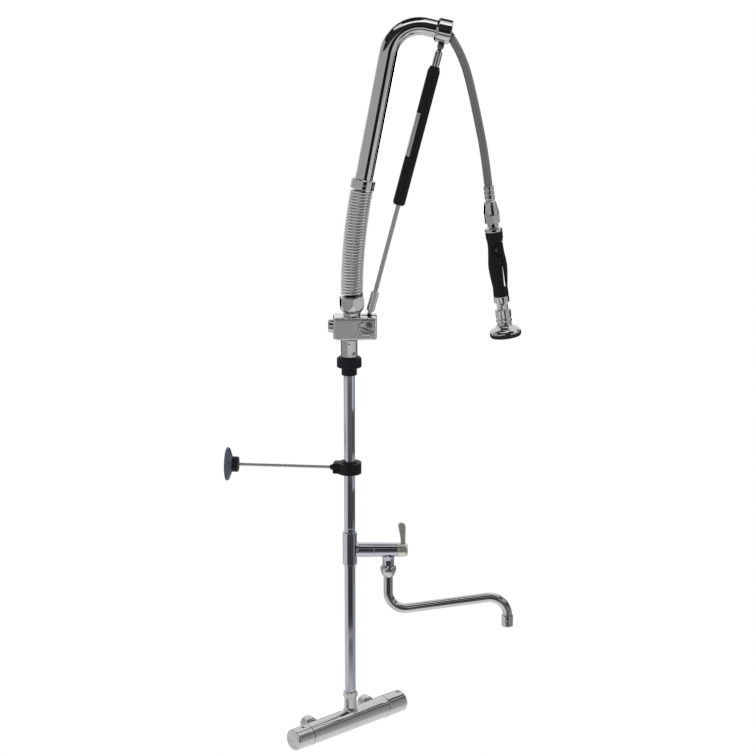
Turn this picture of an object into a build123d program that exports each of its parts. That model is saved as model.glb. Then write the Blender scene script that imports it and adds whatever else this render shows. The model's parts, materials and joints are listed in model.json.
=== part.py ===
from build123d import *
import math
import os

os.makedirs("parts", exist_ok=True)

# A wall mounted pre rinse faucet: a thermostatic mixer bar, a riser with an add-on tap, and a
# swivelling spring arm that a gas strut balances.  Millimetres, +Z up, +Y towards the wall.
# The origin is midway between the two supply nuts, on the face that meets the wall unions.

# ---------------------------------------------------------------- driving dimensions
INLET_SPACING = 150.0
BAR_OUT = 48.0            # bar axis in front of the supply face
BODY_LEFT = -109.0        # the bar's ends, where the knobs begin
BODY_RIGHT = 86.5
BAR_RADIUS = 21.0
BAR_BORE = 15.5
LEFT_KNOB_LENGTH = 38.5
RIGHT_KNOB_LENGTH = 48.5
LEFT_BUTTON = -122.5      # the knobs' stop buttons, along the bar
RIGHT_BUTTON = 126.5
ARM_TURN = 42.0           # arm and spout at rest, turned away from the bar's own line
BRACKET_TURN = 41.0       # wall rod at rest, turned away from the wall's normal

RISER_RADIUS = 10.5
RISER_BORE = 9.3
RISER_BOTTOM = 50.0
TEE_BOTTOM, TEE_TOP = 320.0, 384.0
TEE_RADIUS = 13.9
SOCKET_DEPTH = 13.0
TAP_HEIGHT = 348.0
TAP_JOINT = 46.0          # from the riser axis to the joint between tee and tap body
TAP_END = 91.3
TAP_BORE = 10.5
SPOUT_OFFSET = 73.5       # from the riser axis to the spout's swivel axis
SPOUT_RADIUS, SPOUT_BORE = 9.1, 7.9
SPOUT_NUT_TOP, SPOUT_NUT_BOTTOM = 317.0, 295.5

BRACKET_HEIGHT = 512.0
CLAMP_HEIGHT = 21.0
ROD_RADIUS = 3.0
WALL_FACE = 236.0         # from the riser axis to the wall flange's back, along the rod
FLANGE_RADIUS = 31.8

COLLAR_BOTTOM, COLLAR_STEP, COLLAR_TOP = 692.5, 708.0, 727.5
BLOCK_BOTTOM, BLOCK_TOP = 763.5, 806.0
BLOCK_LEFT, BLOCK_RIGHT = -29.5, 51.5
BLOCK_HALF_DEPTH = 26.0
COIL_OFFSET = 5.5         # coil axis to the right of the riser axis
COIL_BOTTOM = 843.0
COIL_RISE = 198.0
COIL_BEND = 10.9          # degrees that the coil turns the arm at rest
COIL_TURNS = 36
COIL_RADIUS, WIRE_RADIUS = 18.0, 2.62
STRUT_LOW = (32.0, 786.0)
STRUT_HIGH = (165.9, 1298.5)

TUBE_RADIUS, TUBE_BORE = 16.1, 14.3
BEND_RADIUS = 57.0
BEND_TURN = 92.0
ARM_STRAIGHT = 352.5      # from the coil's hinge point to the start of the bend
TUBE_END_RUN = 45.0       # from the end of the bend to the collar's mouth
HOSE_RADIUS = 7.45
HOSE_BORE = 4.5
SPRAY_TILT = 7.38
SLACK = 0.05              # radial clearance of a running fit

# ---------------------------------------------------------------- frames
_turn = math.radians(ARM_TURN)
ARM = Plane(
    origin=(0, -BAR_OUT, 0),
    x_dir=(math.cos(_turn), -math.sin(_turn), 0),
    z_dir=(-math.sin(_turn), -math.cos(_turn), 0),
)


def arm_point(right, up, front=0.0):
    """A point given in the upright plane that holds the arm and the spout."""
    return ARM.from_local_coords(Vector(right, up, front))


def arm_way(right, up, front=0.0):
    """A direction given in that plane."""
    return arm_point(right, up, front) - arm_point(0, 0, 0)


def along(right, up, tilt=0.0, front=0.0):
    """A plane whose z runs in the arm's plane, tilted from upright towards the right."""
    lean = math.radians(tilt)
    return Plane(
        arm_point(right, up, front),
        x_dir=arm_way(math.cos(lean), -math.sin(lean)),
        z_dir=arm_way(math.sin(lean), math.cos(lean)),
    )


def facing(right, up, front=0.0):
    """A plane square to the arm's plane, with z towards the front."""
    return Plane(arm_point(right, up, front), x_dir=arm_way(1, 0), z_dir=arm_way(0, 0, 1))


def bar_plane(x, way=1):
    """A plane across the mixer bar, with z along it."""
    return Plane((x, -BAR_OUT, 0), x_dir=(0, 0, 1), z_dir=(way, 0, 0))


def side_of(place):
    """The plane that holds a place's own x and z, for a profile or a route."""
    return Plane(place.origin, x_dir=place.x_dir, z_dir=-place.y_dir)


# ---------------------------------------------------------------- shapes used again and again
def turned(place, *profile, mode=Mode.ADD):
    """A closed profile of (radius, height) points, turned about the place's z."""
    with BuildSketch(side_of(place)) as half:
        with BuildLine():
            Polyline(*profile, close=True)
        make_face()
    revolve(half.sketch, axis=Axis(place.origin, place.z_dir), mode=mode)


def tube(place, outside, bore, low, high, mode=Mode.ADD):
    """A plain tube or, with no bore, a rod, from one height to another."""
    with BuildSketch(place.offset(low)) as ring:
        Circle(outside)
        if bore:
            Circle(bore, mode=Mode.SUBTRACT)
    extrude(ring.sketch, amount=high - low, mode=mode)


def hexagon(place, across_flats, bore, low, high, turn=0.0):
    """A hexagonal prism with a round hole."""
    with BuildSketch(place.offset(low)) as ring:
        RegularPolygon(across_flats / 2, 6, major_radius=False, rotation=turn)
        if bore:
            Circle(bore, mode=Mode.SUBTRACT)
    extrude(ring.sketch, amount=high - low)


def block_of(place, width, depth, low, high, mode=Mode.ADD, centre=(0, 0)):
    """A rectangular block that stands on a place."""
    with BuildSketch(place.offset(low)) as face:
        with Locations(centre):
            Rectangle(width, depth)
    extrude(face.sketch, amount=high - low, mode=mode)


def swept(place, outside, bore, route, radii):
    """A round tube along straight runs joined by arcs, drawn in the place's x and z."""
    with BuildLine(side_of(place)) as line:
        FilletPolyline(*route, radius=radii)
    path = line.wire()
    with BuildSketch(Plane(path @ 0, z_dir=path % 0)) as section:
        Circle(outside)
        if bore:
            Circle(bore, mode=Mode.SUBTRACT)
    sweep(section.sketch, path=path)
    return path.length


def keep(piece, name):
    """Labels a finished piece and writes its file."""
    piece.part.label = name
    export_step(piece.part, f"parts/{name}.step")


# ---------------------------------------------------------------- mixer bar
STUB_RADIUS, STUB_BORE = 9.4, 6.5
NUT_LENGTH = 20.0
UNION_MINOR = 12.06       # inside radius of a G 3/4 thread
UNION_RELIEF = 12.5       # the thread's run-out, which holds the filter and the stub's flange
THREAD_DEPTH = 11.5
CHAMBER = 4.0             # half the solid wall between the two ends of the bar
SOCKET_TOP = 47.0         # where the riser's nut meets the bar's socket
upright = Plane((0, -BAR_OUT, 0))
inlets = [Plane((x, 0, 0), x_dir=(1, 0, 0), z_dir=(0, 1, 0))
          for x in (-INLET_SPACING / 2, INLET_SPACING / 2)]

with BuildPart() as mixer_body:
    tube(bar_plane(0), BAR_RADIUS, 0, BODY_LEFT, BODY_RIGHT)
    turned(upright, (0, 0), (13.4, 0), (13.4, 21.0), (12.0, 24.0), (12.0, SOCKET_TOP), (0, SOCKET_TOP))
    for inlet in inlets:
        tube(inlet, STUB_RADIUS, 0, -BAR_OUT, -13.5)
        tube(inlet, 11.7, 0, -16.0, -13.5)
    tube(bar_plane(0), BAR_BORE, 0, BODY_LEFT, -CHAMBER, mode=Mode.SUBTRACT)
    tube(bar_plane(0), BAR_BORE, 0, CHAMBER, BODY_RIGHT, mode=Mode.SUBTRACT)
    tube(bar_plane(0), 8.0, 0, -CHAMBER, CHAMBER, mode=Mode.SUBTRACT)
    tube(upright, 7.0, 0, 0, SOCKET_TOP, mode=Mode.SUBTRACT)
    for inlet in inlets:
        tube(inlet, STUB_BORE, 0, -BAR_OUT + BAR_BORE - 3, -13.5, mode=Mode.SUBTRACT)
keep(mixer_body, "mixer_body")

with BuildPart() as union_nuts:
    for inlet in inlets:
        hexagon(inlet, 29.0, UNION_MINOR, -THREAD_DEPTH, 0)
        hexagon(inlet, 29.0, UNION_RELIEF, -16.0, -THREAD_DEPTH)
        hexagon(inlet, 29.0, STUB_RADIUS + SLACK, -NUT_LENGTH, -16.0)
keep(union_nuts, "union_nuts")

with BuildPart() as inlet_filters:
    for inlet in inlets:
        tube(inlet, 11.7, STUB_BORE, -13.5, -11.7)
        tube(inlet, STUB_BORE, 0, -12.8, -12.4)
keep(inlet_filters, "inlet_filters")

with BuildPart() as check_valves:
    for inlet in inlets:
        tube(inlet, STUB_BORE - SLACK, 4.0, -30.0, -15.0)
        tube(inlet, 4.0, 0, -23.0, -20.0)
keep(check_valves, "check_valves")

SPINDLE_RADIUS = 4.0
with BuildPart() as thermostat_cartridge:
    tube(bar_plane(0), BAR_BORE - SLACK, 0, BODY_RIGHT - 5, BODY_RIGHT)
    tube(bar_plane(0), 12.0, 0, 30.0, BODY_RIGHT - 5)
    tube(bar_plane(0), SPINDLE_RADIUS, 0, BODY_RIGHT, BODY_RIGHT + 20)
keep(thermostat_cartridge, "thermostat_cartridge")

with BuildPart() as flow_cartridge:
    tube(bar_plane(0), BAR_BORE - SLACK, 0, BODY_LEFT, BODY_LEFT + 14)
    tube(bar_plane(0), 12.0, 0, BODY_LEFT + 14, BODY_LEFT + 32)
    tube(bar_plane(0), SPINDLE_RADIUS, 0, BODY_LEFT - 22, BODY_LEFT)
keep(flow_cartridge, "flow_cartridge")

# Each knob is a cap turned over the cartridge's spindle, with a stop button in its top.
GAP = 0.3
BUTTON_RADIUS = 4.6
BUTTON_LIFT = 2.0


def knob(way, start, length, radius, lip, button_at):
    """A knob that points one way along the bar, hollow behind its end wall."""
    place = bar_plane(start, way)
    turned(place, (radius - 3, GAP), (lip - 0.8, GAP), (lip, GAP + 1.2), (radius, 6.0),
           (radius, length - 1.5), (radius - 1.5, length), (0, length), (0, length - 5),
           (radius - 3, length - 5))
    tube(place, 8.0, SPINDLE_RADIUS + SLACK, 6.0, length - 5)
    well = Plane((start + way * button_at, -BAR_OUT, 0))
    tube(well, BUTTON_RADIUS + 2, 0, radius - 8, radius - 2.5)
    tube(well, BUTTON_RADIUS + SLACK, 0, radius - 6, radius + 3, mode=Mode.SUBTRACT)
    return well


with BuildPart() as temperature_knob:
    hot_well = knob(1, BODY_RIGHT, RIGHT_KNOB_LENGTH, 21.6, 22.4, RIGHT_BUTTON - BODY_RIGHT)
keep(temperature_knob, "temperature_knob")

with BuildPart() as flow_knob:
    flow_well = knob(-1, BODY_LEFT, LEFT_KNOB_LENGTH, 20.4, 20.9, BODY_LEFT - LEFT_BUTTON)
keep(flow_knob, "flow_knob")


def button(well, radius):
    """A round stop button with a domed top, proud of the knob."""
    turned(well, (0, radius - 3.7), (BUTTON_RADIUS, radius - 3.7),
           (BUTTON_RADIUS, radius + BUTTON_LIFT - 0.8),
           (BUTTON_RADIUS - 0.8, radius + BUTTON_LIFT), (0, radius + BUTTON_LIFT))


with BuildPart() as temperature_button:
    button(hot_well, 21.6)
keep(temperature_button, "temperature_button")

with BuildPart() as flow_button:
    button(flow_well, 20.4)
keep(flow_button, "flow_button")

# ---------------------------------------------------------------- riser and its tap
riser = along(0, 0)
RISER_SPLIT = TEE_BOTTOM + SOCKET_DEPTH

with BuildPart() as riser_nut:
    hexagon(riser, 24.4, RISER_RADIUS + SLACK, SOCKET_TOP, 57.6)
    turned(riser, (RISER_RADIUS + SLACK, 57.6), (12.2, 57.6), (11.6, 59.5), (RISER_RADIUS + SLACK, 59.5))
keep(riser_nut, "riser_nut")

with BuildPart() as riser_pipe_lower:
    tube(riser, RISER_RADIUS, RISER_BORE, RISER_BOTTOM, RISER_SPLIT)
keep(riser_pipe_lower, "riser_pipe_lower")

with BuildPart() as riser_pipe_upper:
    tube(riser, RISER_RADIUS, RISER_BORE, TEE_TOP - SOCKET_DEPTH, 700.0)
keep(riser_pipe_upper, "riser_pipe_upper")

tap = along(0, TAP_HEIGHT, 90.0)
with BuildPart() as tap_tee:
    tube(riser, TEE_RADIUS, 0, TEE_BOTTOM, TEE_TOP)
    tube(tap, TEE_RADIUS, 0, 0, TAP_JOINT)
    turned(tap, (0, 0), (TEE_RADIUS + 2.0, 0), (TEE_RADIUS + 2.0, 12.5), (TEE_RADIUS, 16.5), (0, 16.5))
    block_of(riser, 40, 40, TEE_BOTTOM - 20, TEE_BOTTOM, mode=Mode.SUBTRACT)
    tube(riser, RISER_RADIUS, 0, TEE_BOTTOM, RISER_SPLIT, mode=Mode.SUBTRACT)
    tube(riser, RISER_RADIUS, 0, TEE_TOP - SOCKET_DEPTH, TEE_TOP, mode=Mode.SUBTRACT)
    tube(riser, RISER_BORE, 0, TEE_BOTTOM, TEE_TOP, mode=Mode.SUBTRACT)
    tube(tap, 7.0, 0, 0, TAP_JOINT, mode=Mode.SUBTRACT)
keep(tap_tee, "tap_tee")

spout_axis = along(SPOUT_OFFSET, 0)
with BuildPart() as tap_body:
    turned(tap, (0, TAP_JOINT), (TEE_RADIUS, TAP_JOINT), (TEE_RADIUS - 0.2, 60),
           (TEE_RADIUS - 0.6, TAP_END),
           (0, TAP_END))
    turned(spout_axis, (0, 310.0), (10.0, 310.0), (10.0, 318.0), (11.6, 318.6), (11.6, 331.0), (13.4, 336.5),
           (0, 348.0))
    tube(tap, TAP_BORE, 0, 58.0, TAP_END, mode=Mode.SUBTRACT)
    tube(tap, 7.0, 0, TAP_JOINT, 58.0, mode=Mode.SUBTRACT)
    tube(spout_axis, 7.0, 0, 310.0, 345.0, mode=Mode.SUBTRACT)
keep(tap_body, "tap_body")

with BuildPart() as tap_headpart:
    tube(tap, TAP_BORE - SLACK, 0, 64.0, TAP_END)
    tube(tap, SPINDLE_RADIUS, 0, TAP_END, 104.0)
keep(tap_headpart, "tap_headpart")

LEVER_TOP = 402.5
BLADE_HALF = 3.6
with BuildPart() as tap_lever:
    turned(tap, (0, TAP_END + GAP), (13.6, TAP_END + GAP), (13.9, 98), (13.4, 107.5), (11.0, 110.5),
           (0, 110.8))
    with BuildSketch(facing(0, 0, -BLADE_HALF)) as blade:
        with BuildLine():
            Line((95.0, 352.0), (97.3, 366.0))
            Line((97.3, 366.0), (92.2, 396.0))
            JernArc((92.2, 396.0), (-0.17, 1.0), 6.5, -80)
            Line((98.1, LEVER_TOP - 0.1), (102.0, LEVER_TOP - 1.2))
            Line((102.0, LEVER_TOP - 1.2), (106.6, 395.5))
            Line((106.6, 395.5), (106.0, 352.0))
            Line((106.0, 352.0), (95.0, 352.0))
        make_hull()
    extrude(blade.sketch, amount=2 * BLADE_HALF)
    tube(tap, SPINDLE_RADIUS + SLACK, 0, TAP_END, 104.2, mode=Mode.SUBTRACT)
    tube(tap, 3.2, 0, 104.0, 112.0, mode=Mode.SUBTRACT)
keep(tap_lever, "tap_lever")

with BuildPart() as lever_screw:
    tube(tap, 3.1, 0, 104.4, 110.4)
    with BuildSketch(tap.offset(108.4)):
        RegularPolygon(1.5, 6)
    extrude(amount=2.5, mode=Mode.SUBTRACT)
keep(lever_screw, "lever_screw")

# ---------------------------------------------------------------- spout
NUT_THREAD = 10.05
SPOUT_RISE = math.tan(math.radians(7.7))
SPOUT_REACH = 304.0
SPOUT_LOW = 224.0
AERATOR_BOTTOM, AERATOR_TOP = 192.3, 214.8
SPOUT_FLANGE = 9.7

with BuildPart() as spout_nut:
    turned(spout_axis, (NUT_THREAD, SPOUT_NUT_TOP), (13.2, SPOUT_NUT_TOP), (15.3, 312.0), (15.3, 307.0),
           (13.4, 300.5), (11.0, SPOUT_NUT_BOTTOM),
           (SPOUT_RADIUS + SLACK, SPOUT_NUT_BOTTOM), (SPOUT_RADIUS + SLACK, 306.0), (NUT_THREAD, 306.0))
keep(spout_nut, "spout_nut")

spout_high = SPOUT_LOW + (SPOUT_REACH - SPOUT_OFFSET) * SPOUT_RISE
with BuildPart() as spout_tube:
    swept(along(0, 0), SPOUT_RADIUS, SPOUT_BORE,
          [(SPOUT_OFFSET, 307.0), (SPOUT_OFFSET, SPOUT_LOW), (SPOUT_REACH, spout_high),
           (SPOUT_REACH, AERATOR_BOTTOM + 12)], (33.0, 36.0))
    tube(spout_axis, SPOUT_FLANGE, 6.0, 306.3, 309.8)
    turned(spout_axis, (5.2, 309.8), (6.4, 309.8), (6.4, 311.4), (5.6, 311.4), (5.6, 313.2), (6.4, 313.2),
           (6.4, 314.8), (5.6, 314.8), (5.6, 316.6), (6.4, 316.6), (6.4, 319.0), (5.2, 319.0))
keep(spout_tube, "spout_tube")

with BuildPart() as spout_seals:
    for height in (312.3, 315.7):
        with Locations(Location(spout_axis.offset(height))):
            Torus(6.25, 0.65)
keep(spout_seals, "spout_seals")

outlet_axis = along(SPOUT_REACH, 0)
with BuildPart() as aerator_shell:
    turned(outlet_axis, (SPOUT_RADIUS, AERATOR_TOP - 2.5), (SPOUT_RADIUS, AERATOR_BOTTOM + 11),
           (8.6, AERATOR_BOTTOM + 11), (8.6, AERATOR_BOTTOM), (10.6, AERATOR_BOTTOM),
           (11.2, AERATOR_BOTTOM + 0.8), (11.2, AERATOR_TOP - 1.4), (10.2, AERATOR_TOP), (9.6, AERATOR_TOP))
keep(aerator_shell, "aerator_shell")

with BuildPart() as aerator_insert:
    tube(outlet_axis, 8.5, 7.0, AERATOR_BOTTOM + 0.6, AERATOR_BOTTOM + 10.8)
    tube(outlet_axis, 7.0, 0, AERATOR_BOTTOM + 1.6, AERATOR_BOTTOM + 2.6)
    with Locations(Location(outlet_axis.offset(AERATOR_BOTTOM + 2.1))):
        with PolarLocations(4.4, 8):
            Hole(0.9, depth=2)
keep(aerator_insert, "aerator_insert")

# ---------------------------------------------------------------- wall bracket
_swing = math.radians(BRACKET_TURN)
rod_way = Vector(-math.sin(_swing), math.cos(_swing), 0)
across_rod = Vector(math.cos(_swing), math.sin(_swing), 0)
bracket = Plane((0, -BAR_OUT, BRACKET_HEIGHT), x_dir=across_rod, z_dir=rod_way)
clamp_floor = Plane((0, -BAR_OUT, BRACKET_HEIGHT), x_dir=rod_way, z_dir=(0, 0, 1))
BUSH_RADIUS = 13.0
CLAMP_END = 31.5
screw_line = Plane(clamp_floor.from_local_coords((22.5, -14.0, 0)), z_dir=across_rod)

with BuildPart() as clamp_bush:
    tube(riser, BUSH_RADIUS, RISER_RADIUS + SLACK, BRACKET_HEIGHT - 12.2, BRACKET_HEIGHT + 12.2)
    for low in (-12.2, 10.7):
        tube(riser, 15.0, RISER_RADIUS + SLACK, BRACKET_HEIGHT + low, BRACKET_HEIGHT + low + 1.5)
keep(clamp_bush, "clamp_bush")

with BuildPart() as clamp_body:
    with BuildSketch(clamp_floor.offset(-CLAMP_HEIGHT / 2)):
        Circle(22.5)
        with Locations((CLAMP_END / 2, 0)):
            Rectangle(CLAMP_END, 27.0)
    extrude(amount=CLAMP_HEIGHT)
    upright_edges = clamp_body.edges().filter_by(Axis.Z)
    far_corners = upright_edges.sort_by(lambda edge: (edge.center() - clamp_floor.origin).dot(rod_way))[-2:]
    fillet(far_corners, radius=5.0)
    tube(clamp_floor, BUSH_RADIUS + SLACK, 0, -20, 20, mode=Mode.SUBTRACT)
    tube(bracket, ROD_RADIUS, 0, 17.0, 40.0, mode=Mode.SUBTRACT)
    tube(screw_line, 2.1, 0, -2, 10, mode=Mode.SUBTRACT)
keep(clamp_body, "clamp_body")

with BuildPart() as clamp_screw:
    tube(screw_line, 2.1, 0, 0.6, 9.5)
    with BuildSketch(screw_line.offset(0.6)):
        RegularPolygon(1.2, 6)
    extrude(amount=2.5, mode=Mode.SUBTRACT)
keep(clamp_screw, "clamp_screw")

with BuildPart() as bracket_rod:
    tube(bracket, ROD_RADIUS, 0, 17.5, WALL_FACE)
keep(bracket_rod, "bracket_rod")

with BuildPart() as rod_lock_nut:
    turned(bracket, (ROD_RADIUS, CLAMP_END), (5.6, CLAMP_END), (5.6, CLAMP_END + 2.5),
           (3.6, CLAMP_END + 6.0),
           (ROD_RADIUS, CLAMP_END + 6.0))
keep(rod_lock_nut, "rod_lock_nut")

with BuildPart() as wall_rosette:
    turned(bracket, (ROD_RADIUS, 213.5), (14.0, 213.5), (14.8, 214.3), (14.8, 225.5),
           (FLANGE_RADIUS, 232.2),
           (FLANGE_RADIUS, WALL_FACE), (29.5, WALL_FACE), (29.5, 233.3), (12.6, 227.6), (12.6, 217.0),
           (ROD_RADIUS, 217.0))
keep(wall_rosette, "wall_rosette")

PLATE_HOLES = 18.0
with BuildPart() as wall_plate:
    tube(bracket, 24.0, ROD_RADIUS, WALL_FACE - 3.6, WALL_FACE)
    with Locations(Location(bracket.offset(WALL_FACE))):
        with PolarLocations(PLATE_HOLES, 3):
            Hole(2.6, depth=4)
keep(wall_plate, "wall_plate")

# ---------------------------------------------------------------- swivel, connector and block
SPIGOT_RADIUS = 9.9
with BuildPart() as swivel_collar:
    turned(riser, (RISER_RADIUS, COLLAR_BOTTOM), (13.6, COLLAR_BOTTOM), (14.5, COLLAR_BOTTOM + 1),
           (14.5, COLLAR_STEP),
           (22.4, COLLAR_STEP), (23.2, COLLAR_STEP + 0.8), (23.2, COLLAR_TOP - 2.6), (20.0, COLLAR_TOP),
           (SPIGOT_RADIUS + SLACK, COLLAR_TOP), (SPIGOT_RADIUS + SLACK, 700.0), (RISER_RADIUS, 700.0))
keep(swivel_collar, "swivel_collar")

CONNECTOR_RADIUS = 15.5
with BuildPart() as connector:
    turned(riser, (7.0, 702.0), (SPIGOT_RADIUS, 702.0), (SPIGOT_RADIUS, 708.0), (8.9, 708.0), (8.9, 710.2),
           (SPIGOT_RADIUS, 710.2), (SPIGOT_RADIUS, 715.0), (8.9, 715.0), (8.9, 717.2),
           (SPIGOT_RADIUS, 717.2),
           (SPIGOT_RADIUS, COLLAR_TOP + 0.2), (CONNECTOR_RADIUS, COLLAR_TOP + 0.2),
           (CONNECTOR_RADIUS, 760.5),
           (14.3, 761.5), (14.3, BLOCK_BOTTOM), (SPIGOT_RADIUS, BLOCK_BOTTOM), (SPIGOT_RADIUS, 774.0),
           (7.0, 774.0))
    tube(facing(0, 754.0), 1.7, 0, 8.0, 17.0, mode=Mode.SUBTRACT)
    tube(facing(8.5, 735.5), 3.2, 0, 9.0, 17.0, mode=Mode.SUBTRACT)
keep(connector, "connector")

with BuildPart() as swivel_seals:
    for height in (709.1, 716.1):
        with Locations(Location(riser.offset(height))):
            Torus(9.42, 0.5)
keep(swivel_seals, "swivel_seals")

with BuildPart() as set_screws:
    tube(facing(0, 754.0), 1.65, 0, 8.5, 14.2)
    tube(facing(8.5, 735.5), 3.15, 0, 9.2, 14.0)
keep(set_screws, "set_screws")

SLOT_HALF = 4.8
with BuildPart() as pivot_block:
    with BuildSketch(along(0, BLOCK_BOTTOM)):
        with Locations(((BLOCK_LEFT + BLOCK_RIGHT) / 2, 0)):
            RectangleRounded(BLOCK_RIGHT - BLOCK_LEFT, 2 * BLOCK_HALF_DEPTH, 5.0)
    extrude(amount=BLOCK_TOP - BLOCK_BOTTOM)
    fillet(pivot_block.faces().filter_by(Axis.Z).edges(), radius=1.6)
    block_of(along(0, 0), 40, 2 * SLOT_HALF, STRUT_LOW[1] - 9, BLOCK_TOP + 5, mode=Mode.SUBTRACT,
             centre=(STRUT_LOW[0] + 11, 0))
    tube(riser, SPIGOT_RADIUS, 0, BLOCK_BOTTOM, 774.0, mode=Mode.SUBTRACT)
    tube(riser, 7.0, 0, 774.0, 790.0, mode=Mode.SUBTRACT)
    tube(along(COIL_OFFSET, 0), 8.0, 0, 785.0, BLOCK_TOP, mode=Mode.SUBTRACT)
    tube(along(0, 786.0, 90.0), 7.0, 0, BLOCK_LEFT - 1, 0, mode=Mode.SUBTRACT)
    tube(facing(*STRUT_LOW), 15.4, 0, 22.0, 30.0, mode=Mode.SUBTRACT)
    tube(facing(*STRUT_LOW), 3.0, 0, -20.0, 30.0, mode=Mode.SUBTRACT)
keep(pivot_block, "pivot_block")

with BuildPart() as block_plug:
    plug_axis = along(0, 786.0, 90.0)
    tube(plug_axis, 7.0, 0, BLOCK_LEFT, BLOCK_LEFT + 10)
    turned(plug_axis, (0, -39.0), (10.2, -39.0), (12.0, -38.0), (12.6, -35.5), (12.8, BLOCK_LEFT),
           (0, BLOCK_LEFT))
    with BuildSketch(plug_axis.offset(-39.0)):
        RegularPolygon(4.0, 6)
    extrude(amount=4.0, mode=Mode.SUBTRACT)
keep(block_plug, "block_plug")

PIN_RADIUS = 3.0
SLOT_TILT = 17.0          # of the screwdriver slot, down to the right
with BuildPart() as pivot_screw:
    front = facing(*STRUT_LOW)
    turned(front, (0, 22.0), (14.6, 22.0), (14.6, 26.2), (13.4, 28.4), (0, 29.0))
    tube(front, PIN_RADIUS, 0, -20.0, 22.0)
    slot_way = math.radians(-SLOT_TILT)
    slot_place = Plane(front.origin, x_dir=arm_way(math.cos(slot_way), math.sin(slot_way)), z_dir=front.z_dir)
    with BuildSketch(slot_place.offset(26.4)):
        SlotOverall(21.0, 3.2)
    extrude(amount=5.0, mode=Mode.SUBTRACT)
keep(pivot_screw, "pivot_screw")

coil_foot = along(COIL_OFFSET, 0)
NUT_ACROSS = 43.4
with BuildPart() as coil_nut:
    hexagon(coil_foot, NUT_ACROSS, 9.0, 818.0, COIL_BOTTOM - 2.0, turn=30)
    turned(coil_foot, (0, 800), (40, 800), (40, 829), (24.8, 829), (22.4, 820.5), (17.8, 812.0),
           (17.8, BLOCK_TOP),
           (0, BLOCK_TOP), mode=Mode.SUBTRACT)
    turned(coil_foot, (8.0, BLOCK_TOP), (17.4, BLOCK_TOP), (17.4, 812.0), (21.4, 819.0),
           (21.4, 822.0), (8.0, 822.0))
    turned(coil_foot, (9.0, COIL_BOTTOM - 2.0), (21.4, COIL_BOTTOM - 2.0), (20.6, COIL_BOTTOM),
           (9.0, COIL_BOTTOM))
keep(coil_nut, "coil_nut")

# The coil and the hose inside it bend along one arc, from upright to the arm's own lean.
bend = math.radians(COIL_BEND)
coil_arc = COIL_RISE / math.sin(bend)
hinge_up = COIL_BOTTOM + coil_arc * math.tan(bend / 2)


def on_coil(share):
    """A place on the coil's bent axis, from 0 at its foot to 1 at its head."""
    t = share * bend
    out = coil_arc * (1 - math.cos(t))
    return along(COIL_OFFSET + out, COIL_BOTTOM + coil_arc * math.sin(t), math.degrees(t))


with BuildPart() as coil_spring:
    for turn in range(COIL_TURNS):
        with Locations(Location(on_coil((turn + 0.5) / COIL_TURNS))):
            Torus(COIL_RADIUS, WIRE_RADIUS)
keep(coil_spring, "coil_spring")

with BuildPart() as spring_hose:
    with BuildLine(side_of(along(0, 0))) as inner_line:
        coil_out = coil_arc * (1 - math.cos(bend))
        RadiusArc((COIL_OFFSET, COIL_BOTTOM), (COIL_OFFSET + coil_out, COIL_BOTTOM + COIL_RISE), coil_arc)
    inner_path = inner_line.wire()
    with BuildSketch(Plane(inner_path @ 0, z_dir=inner_path % 0)) as hose_ring:
        Circle(HOSE_RADIUS)
        Circle(HOSE_BORE, mode=Mode.SUBTRACT)
    sweep(hose_ring.sketch, path=inner_path)
keep(spring_hose, "spring_hose")

# ---------------------------------------------------------------- arm
arm = along(COIL_OFFSET, hinge_up, COIL_BEND)
coil_half = coil_arc * math.tan(bend / 2)
FERRULE_TOP = coil_half + 19.0
CORNER = ARM_STRAIGHT + BEND_RADIUS * math.tan(math.radians(BEND_TURN / 2))
END_RUN = BEND_RADIUS * math.tan(math.radians(BEND_TURN / 2)) + TUBE_END_RUN
end_way = (math.sin(math.radians(BEND_TURN)), math.cos(math.radians(BEND_TURN)))


def down_the_end(distance):
    """A point on the tube's last straight, in the arm's own x and z, measured from its corner."""
    return (distance * end_way[0], CORNER + distance * end_way[1])


with BuildPart() as coil_ferrule:
    turned(arm, (HOSE_RADIUS + 1.5, coil_half + 0.3), (20.6, coil_half + 0.3), (21.7, coil_half + 1.5),
           (21.7, FERRULE_TOP - 1.5), (20.4, FERRULE_TOP), (TUBE_RADIUS, FERRULE_TOP),
           (TUBE_RADIUS, coil_half + 5),
           (HOSE_RADIUS + 1.5, coil_half + 5))
keep(coil_ferrule, "coil_ferrule")

with BuildPart() as gooseneck:
    tube_route = [(0, coil_half + 5), (0, CORNER), down_the_end(END_RUN - 4)]
    swept(arm, TUBE_RADIUS, TUBE_BORE, tube_route, BEND_RADIUS)
keep(gooseneck, "gooseneck")

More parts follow.
